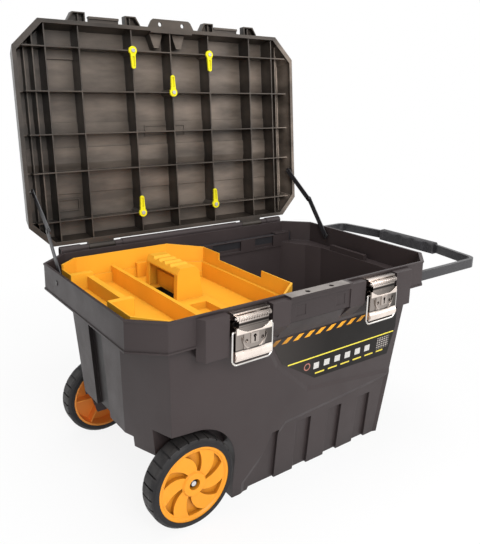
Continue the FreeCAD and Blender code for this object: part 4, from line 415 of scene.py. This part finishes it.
def latch_painted_reflection(tree, place, tone):
    """Painted reflections on a latch: bright where raised, to the left, at crown, foot and roll; dark at neck
    and groove.
    """
    along, out, height = axes(tree, place)
    across = count(tree, "SUBTRACT", along, product(tree, count(tree, "SIGN", along), LATCH_X))
    raised = spread(tree, out, LATCH_FACE - 0.0003, LATCH_FACE - 0.0009)
    high = spread(tree, out, LATCH_FACE - 0.0014, LATCH_FACE - 0.0020)
    neck = between(tree, height, *NECK, 0.0008)
    left_light = spread(tree, across, 0.030, -0.030, 0.30, 1.0)
    level = count(tree, "ADD", product(tree, left_light, 0.62), product(tree, raised, 0.25))
    level = count(tree, "ADD", level, product(tree, high, 0.25))
    bright_crown = product(tree, spread(tree, height, *CROWN), raised, 1.85)
    bright_foot = product(tree, spread(tree, height, *FOOT), 1.85)
    bright_roll = product(tree, spread(tree, height, *ROLL), left_light, 1.75)
    level = largest(tree, level, bright_crown, bright_foot, bright_roll)
    dark = count(tree, "SUBTRACT", 1.0, product(tree, neck, 0.86))
    groove = count(tree, "SUBTRACT", 1.0, product(tree, between(tree, height, *FOOT_GROOVE, 0.0006), 0.7))
    return scaled(tree, tone, product(tree, level, dark, groove))


# the bright end of the axle: full inside the first radius, gone outside the second, where the cap is painted
# dark as shade of the hub's bore
AXLE_END = (0.0040, 0.0047)


def cap_painted_shade(tree, place, tone):
    """Painted shade of the hub's bore: the cap is dark around the bright end of the axle in its middle."""
    return scaled(tree, tone, spread(tree, from_axle(tree, place), *AXLE_END, 1.3, 0.12))


UPRIGHT_LINES, WIRE_LINES, LEVEL_LINES = (1.0, 1.0, 0.06), (1.0, 1.0, 0.2), (0.3, 1.0, 1.0)
latch_steel = metal("plated_latch", rgb(0.53, 0.465, 0.42), 0.16, 0.26, UPRIGHT_LINES, 0.02, painted_light=latch_painted_reflection)
bail_wire = metal("plated_wire", rgb(0.78, 0.75, 0.72), 0.10, 0.20, WIRE_LINES, 0.03)
pin_steel = metal("plain_steel", rgb(0.52, 0.51, 0.50), 0.25, 0.45, LEVEL_LINES, 0.15)
cap_steel = metal("axle_cap", rgb(0.62, 0.61, 0.60), 0.18, 0.34, LEVEL_LINES, 0.05, painted_light=cap_painted_shade)
dark_steel = metal("blackened_steel", rgb(0.075, 0.070, 0.068), 0.30, 0.48, LEVEL_LINES, 0.12)
print("metals: 5")

# %% [markdown]
# ## Painted bar and soft grip
# The pull handle and the folding stays are steel with a black powder coat. Powder melts into a skin with a
# slight orange peel: a bump of rounded cells, a few tenths of a millimetre across. The grip is softer and
# duller, with a grain like leather.


# %% Powder coat and grip
COAT_BLACK, COAT_RUBBED = rgb(0.028, 0.027, 0.030), rgb(0.10, 0.10, 0.10)
GRIP_DARK, GRIP_LIGHT = rgb(0.022, 0.021, 0.023), rgb(0.042, 0.040, 0.043)


def powder_coat():
    made, tree, shader = fresh_material("powder_coat")
    place = where(tree)
    rounded, wear = worn_edges(tree, place, 0.001)
    tone = blend_colours(tree, product(tree, wear, 0.5), COAT_BLACK, COAT_RUBBED)
    set_input(tree, shader.inputs["Base Color"], tone)
    set_input(tree, shader.inputs["Roughness"], spread(tree, noise(tree, place, 40.0), 0.3, 0.7, 0.26, 0.40))
    roughen(tree, shader, 0.25, 0.0003, noise(tree, place, 700.0, 1.0), rounded)
    return made


def grip_rubber():
    made, tree, shader = fresh_material("grip_rubber")
    place = where(tree)
    cells = add_node(tree, "TexVoronoi", {"Vector": place, "Scale": 650.0}, "Distance")
    tone = blend_colours(tree, noise(tree, place, 30.0, 3.0), GRIP_DARK, GRIP_LIGHT)
    set_input(tree, shader.inputs["Base Color"], tone)
    set_input(tree, shader.inputs["Roughness"], spread(tree, noise(tree, place, 90.0), 0.3, 0.7, 0.55, 0.72))
    roughen(tree, shader, 0.3, 0.0004, cells, round_edges(tree, 0.0015))
    return made


painted_bar = powder_coat()
soft_grip = grip_rubber()
print("coat and grip made")

# %% [markdown]
# ## The printed label
# The label is a black film with a printed design: slanted orange bars along its top edge, a thin yellow
# line across it, and under the line a ring, a row of small plain tiles, a row of dashes and a patch of
# dots. All of it could be drawn as thin plates, but print has no thickness, so it is painted by the
# material: each mark is a test on where the point lies, along the front and up the slope, and the tests are
# combined by multiplying them.


# %% Label print
def repeated(tree, value, pitch, share, soft=0.02):
    """1 in the same share of each of many equal steps."""
    step = count(tree, "FRACT", count(tree, "DIVIDE", value, pitch))
    return between(tree, step, *share, soft)


def strip(tree, along, height, ends, heights):
    """1 in a level strip of the label, between two ends and two heights."""
    return product(tree, between(tree, height, *heights), between(tree, along, *ends))


# the print, in metres along the front and up the slope; a share is the printed part of each step
BAR_SLANT, BAR_PITCH, BAR_SHARE = -1.3, 0.027, (0.08, 0.54)
BAR_HEIGHTS, BAR_START, BAR_END = (0.287, 0.2975), (-0.09, -0.02), (0.184, 0.186)
LINE_ENDS, LINE_HEIGHTS = (-0.036, 0.252), (0.238, 0.2405)
TILE_ENDS, TILE_HEIGHTS = (0.03, 0.189), (0.213, 0.226)
TILE_PITCH, TILE_SHARE, TILE_SHIFT = 0.028, (0.1, 0.62), 0.002
DASH_ENDS, DASH_HEIGHTS, DASH_PITCH, DASH_SHARE = (0.03, 0.226), (0.2015, 0.2045), 0.034, (0.05, 0.75)
DOTS_ENDS, DOTS_HEIGHTS = (0.205, 0.240), (0.208, 0.233)
DOT_PITCH_UP, DOT_SHARE_UP, DOT_PITCH_ALONG, DOT_SHARE_ALONG = 0.0050, (0.2, 0.75), 0.0070, (0.12, 0.80)
RING_MIDDLE, RING_RADII = (0.013, 0.0, 0.2225), (0.0056, 0.0078)
FILM_LEFT, FILM_RIGHT = rgb(0.045, 0.038, 0.035), rgb(0.008, 0.006, 0.005)


def label_film():
    made, tree, shader = fresh_material("label_film")
    place = where(tree)
    along, _, height = axes(tree, place)
    film = blend_colours(tree, spread(tree, along, -0.1, 0.06), FILM_LEFT, FILM_RIGHT)
    slanted = count(tree, "ADD", along, product(tree, height, BAR_SLANT))
    bars = product(tree, repeated(tree, slanted, BAR_PITCH, BAR_SHARE), between(tree, height, *BAR_HEIGHTS))
    bars = product(tree, bars, spread(tree, along, *BAR_START), spread(tree, along, *BAR_END, 1.0, 0.0))
    line = strip(tree, along, height, LINE_ENDS, LINE_HEIGHTS)
    shifted = count(tree, "ADD", along, TILE_SHIFT)
    tiles = product(tree, strip(tree, along, height, TILE_ENDS, TILE_HEIGHTS),
                    repeated(tree, shifted, TILE_PITCH, TILE_SHARE))
    dashes = product(tree, strip(tree, along, height, DASH_ENDS, DASH_HEIGHTS),
                     repeated(tree, along, DASH_PITCH, DASH_SHARE))
    dots = product(tree, strip(tree, along, height, DOTS_ENDS, DOTS_HEIGHTS),
                   repeated(tree, height, DOT_PITCH_UP, DOT_SHARE_UP, 0.06),
                   repeated(tree, along, DOT_PITCH_ALONG, DOT_SHARE_ALONG, 0.04))
    flat_place = masked(tree, place, (1.0, 0.0, 1.0))
    from_ring = add_node(tree, "VectorMath", {0: flat_place, 1: RING_MIDDLE}, "Value", operation="DISTANCE")
    ring = between(tree, from_ring, *RING_RADII, 0.0003)
    print_colours = [
        (bars, rgb(0.90, 0.38, 0.02)),
        (line, rgb(0.92, 0.78, 0.08)),
        (tiles, rgb(0.62, 0.60, 0.57)),
        (dashes, rgb(0.85, 0.68, 0.08)),
        (dots, rgb(0.42, 0.38, 0.35)),
        (ring, rgb(0.42, 0.17, 0.13)),
    ]
    coloured = film
    for marks, colour in print_colours:
        coloured = blend_colours(tree, marks, coloured, colour)
    set_input(tree, shader.inputs["Base Color"], coloured)
    gloss = spread(tree, noise(tree, place, 35.0, 3.0), 0.3, 0.7, 0.34, 0.46)
    set_input(tree, shader.inputs["Roughness"], gloss)
    shader.inputs["Specular IOR Level"].default_value = 0.18
    roughen(tree, shader, 0.12, 0.0003, noise(tree, place, 120.0))
    return made


label_print = label_film()
print("label film made")

# %% [markdown]
# ## Each piece gets its finish
# The record names the slot that each CAD piece takes its finish from, and the slots are the raw materials
# here. The mesh has one material slot, so giving it a new material is enough.

# %% Finishes on the pieces
FINISHES = {
    "body_plastic": body_plastic,
    "lid_plastic": lid_plastic,
    "tray_plastic": tray_plastic,
    "rim_plastic": rim_plastic,
    "tyre_plastic": tyre_plastic,
    "clip_plastic": clip_plastic,
    "latch_steel": latch_steel,
    "bail_wire": bail_wire,
    "steel": pin_steel,
    "painted_bar": painted_bar,
    "grip_rubber": soft_grip,
    "label_print": label_print,
}
# pieces of plain steel that have a finish of their own, by how their names start
OWN_FINISHES = {
    "axle_cap": cap_steel,
    "stay_": dark_steel,
    "hinge_pin": dark_steel,
    "latch_rivets": dark_steel,
}
dressed = 0
for name, piece in nodes.items():
    own = [finish for start, finish in OWN_FINISHES.items() if name.startswith(start)]
    for place in piece.material_slots:
        slot = place.material.name.split(".")[0]
        place.material = own[0] if own and slot == "steel" else FINISHES[slot]
        dressed += 1
print("slots dressed:", dressed)

# %% [markdown]
# ## Floor and light
# The box stands on a plain white floor in a bright studio. The floor has to go out white and still hold the
# box's soft shadow, and no light may be added for that. So near the box it is a matt white surface, which
# takes the shadow, and further out it turns into plain white for the camera and for reflections.


# %% Floor and world
# the floor turns plain white between these distances from the middle, from this share of it near the box
SHADOW_REACH, WHITE_FROM, WHITE_NEAR = 0.55, 1.25, 0.88
FLOOR_HALF, FLOOR_HEIGHT = 30.0, -0.0005
STUDIO_LIGHT = 0.42


def seen_directly(tree):
    """1 for a ray of the camera, a reflection or a clear piece, and 0 for a ray that carries light."""
    rays = tree.nodes.new("ShaderNodeLightPath").outputs
    return largest(tree, rays["Is Camera Ray"], rays["Is Glossy Ray"], rays["Is Transmission Ray"])


def plain_floor():
    made, tree, shader = fresh_material("white_floor")
    tree.nodes.remove(shader)
    far = length(tree, masked(tree, where(tree), (1.0, 1.0, 0.0)))
    seen = seen_directly(tree)
    white = product(tree, spread(tree, far, SHADOW_REACH, WHITE_FROM), seen)
    matt = add_node(tree, "BsdfDiffuse", {"Color": rgb(0.92, 0.92, 0.92)})
    glow = add_node(tree, "Emission", {"Color": rgb(1.0, 1.0, 1.0), "Strength": 1.0})
    near = spread(tree, white, 0.0, 1.0, WHITE_NEAR, 1.0)
    mixed = add_node(tree, "MixShader", {0: product(tree, near, seen), 1: matt, 2: glow})
    set_input(tree, tree.nodes["Material Output"].inputs["Surface"], mixed)
    return made


signs = ((-1, -1), (1, -1), (1, 1), (-1, 1))
corners = [(x * FLOOR_HALF, y * FLOOR_HALF, FLOOR_HEIGHT) for x, y in signs]
floor_mesh = bpy.data.meshes.new("floor")
floor_mesh.from_pydata(corners, [], [(0, 1, 2, 3)])
floor_mesh.materials.append(plain_floor())
floor = bpy.data.objects.new("floor", floor_mesh)
scene.collection.objects.link(floor)

world = bpy.data.worlds.new("studio")
world.use_nodes = True
scene.world = world
sky = world.node_tree
backdrop = sky.nodes["Background"]
set_input(sky, backdrop.inputs["Color"], rgb(1.0, 1.0, 1.0))
set_input(sky, backdrop.inputs["Strength"], spread(sky, seen_directly(sky), 0.0, 1.0, STUDIO_LIGHT, 1.0))
print("floor and world made")

# %% [markdown]
# ## Lamps
# A large lamp from the upper left gives the box its soft shadow, a weaker one from the right keeps that
# side from going black, and one from above lights the rim and the tray.


# %% Lamps
def soft_lamp(name, place, target, size, power):
    lamp = bpy.data.lights.new(name, "AREA")
    lamp.shape = "RECTANGLE"
    lamp.size, lamp.size_y = size
    lamp.energy = power
    holder = bpy.data.objects.new(name, lamp)
    holder.location = place
    holder.rotation_euler = (Vector(target) - Vector(place)).to_track_quat("-Z", "Y").to_euler()
    scene.collection.objects.link(holder)


AIM = (0.0, 0.0, 0.35)
soft_lamp("key_lamp", (-0.6, -2.3, 1.7), AIM, (1.5, 1.5), 52)
soft_lamp("side_lamp", (2.2, -1.2, 1.3), AIM, (1.4, 1.4), 12)
soft_lamp("top_lamp", (-0.2, 0.1, 2.6), AIM, (1.6, 1.2), 26)
print("lamps: 3")

scene.view_settings.view_transform = "Standard"
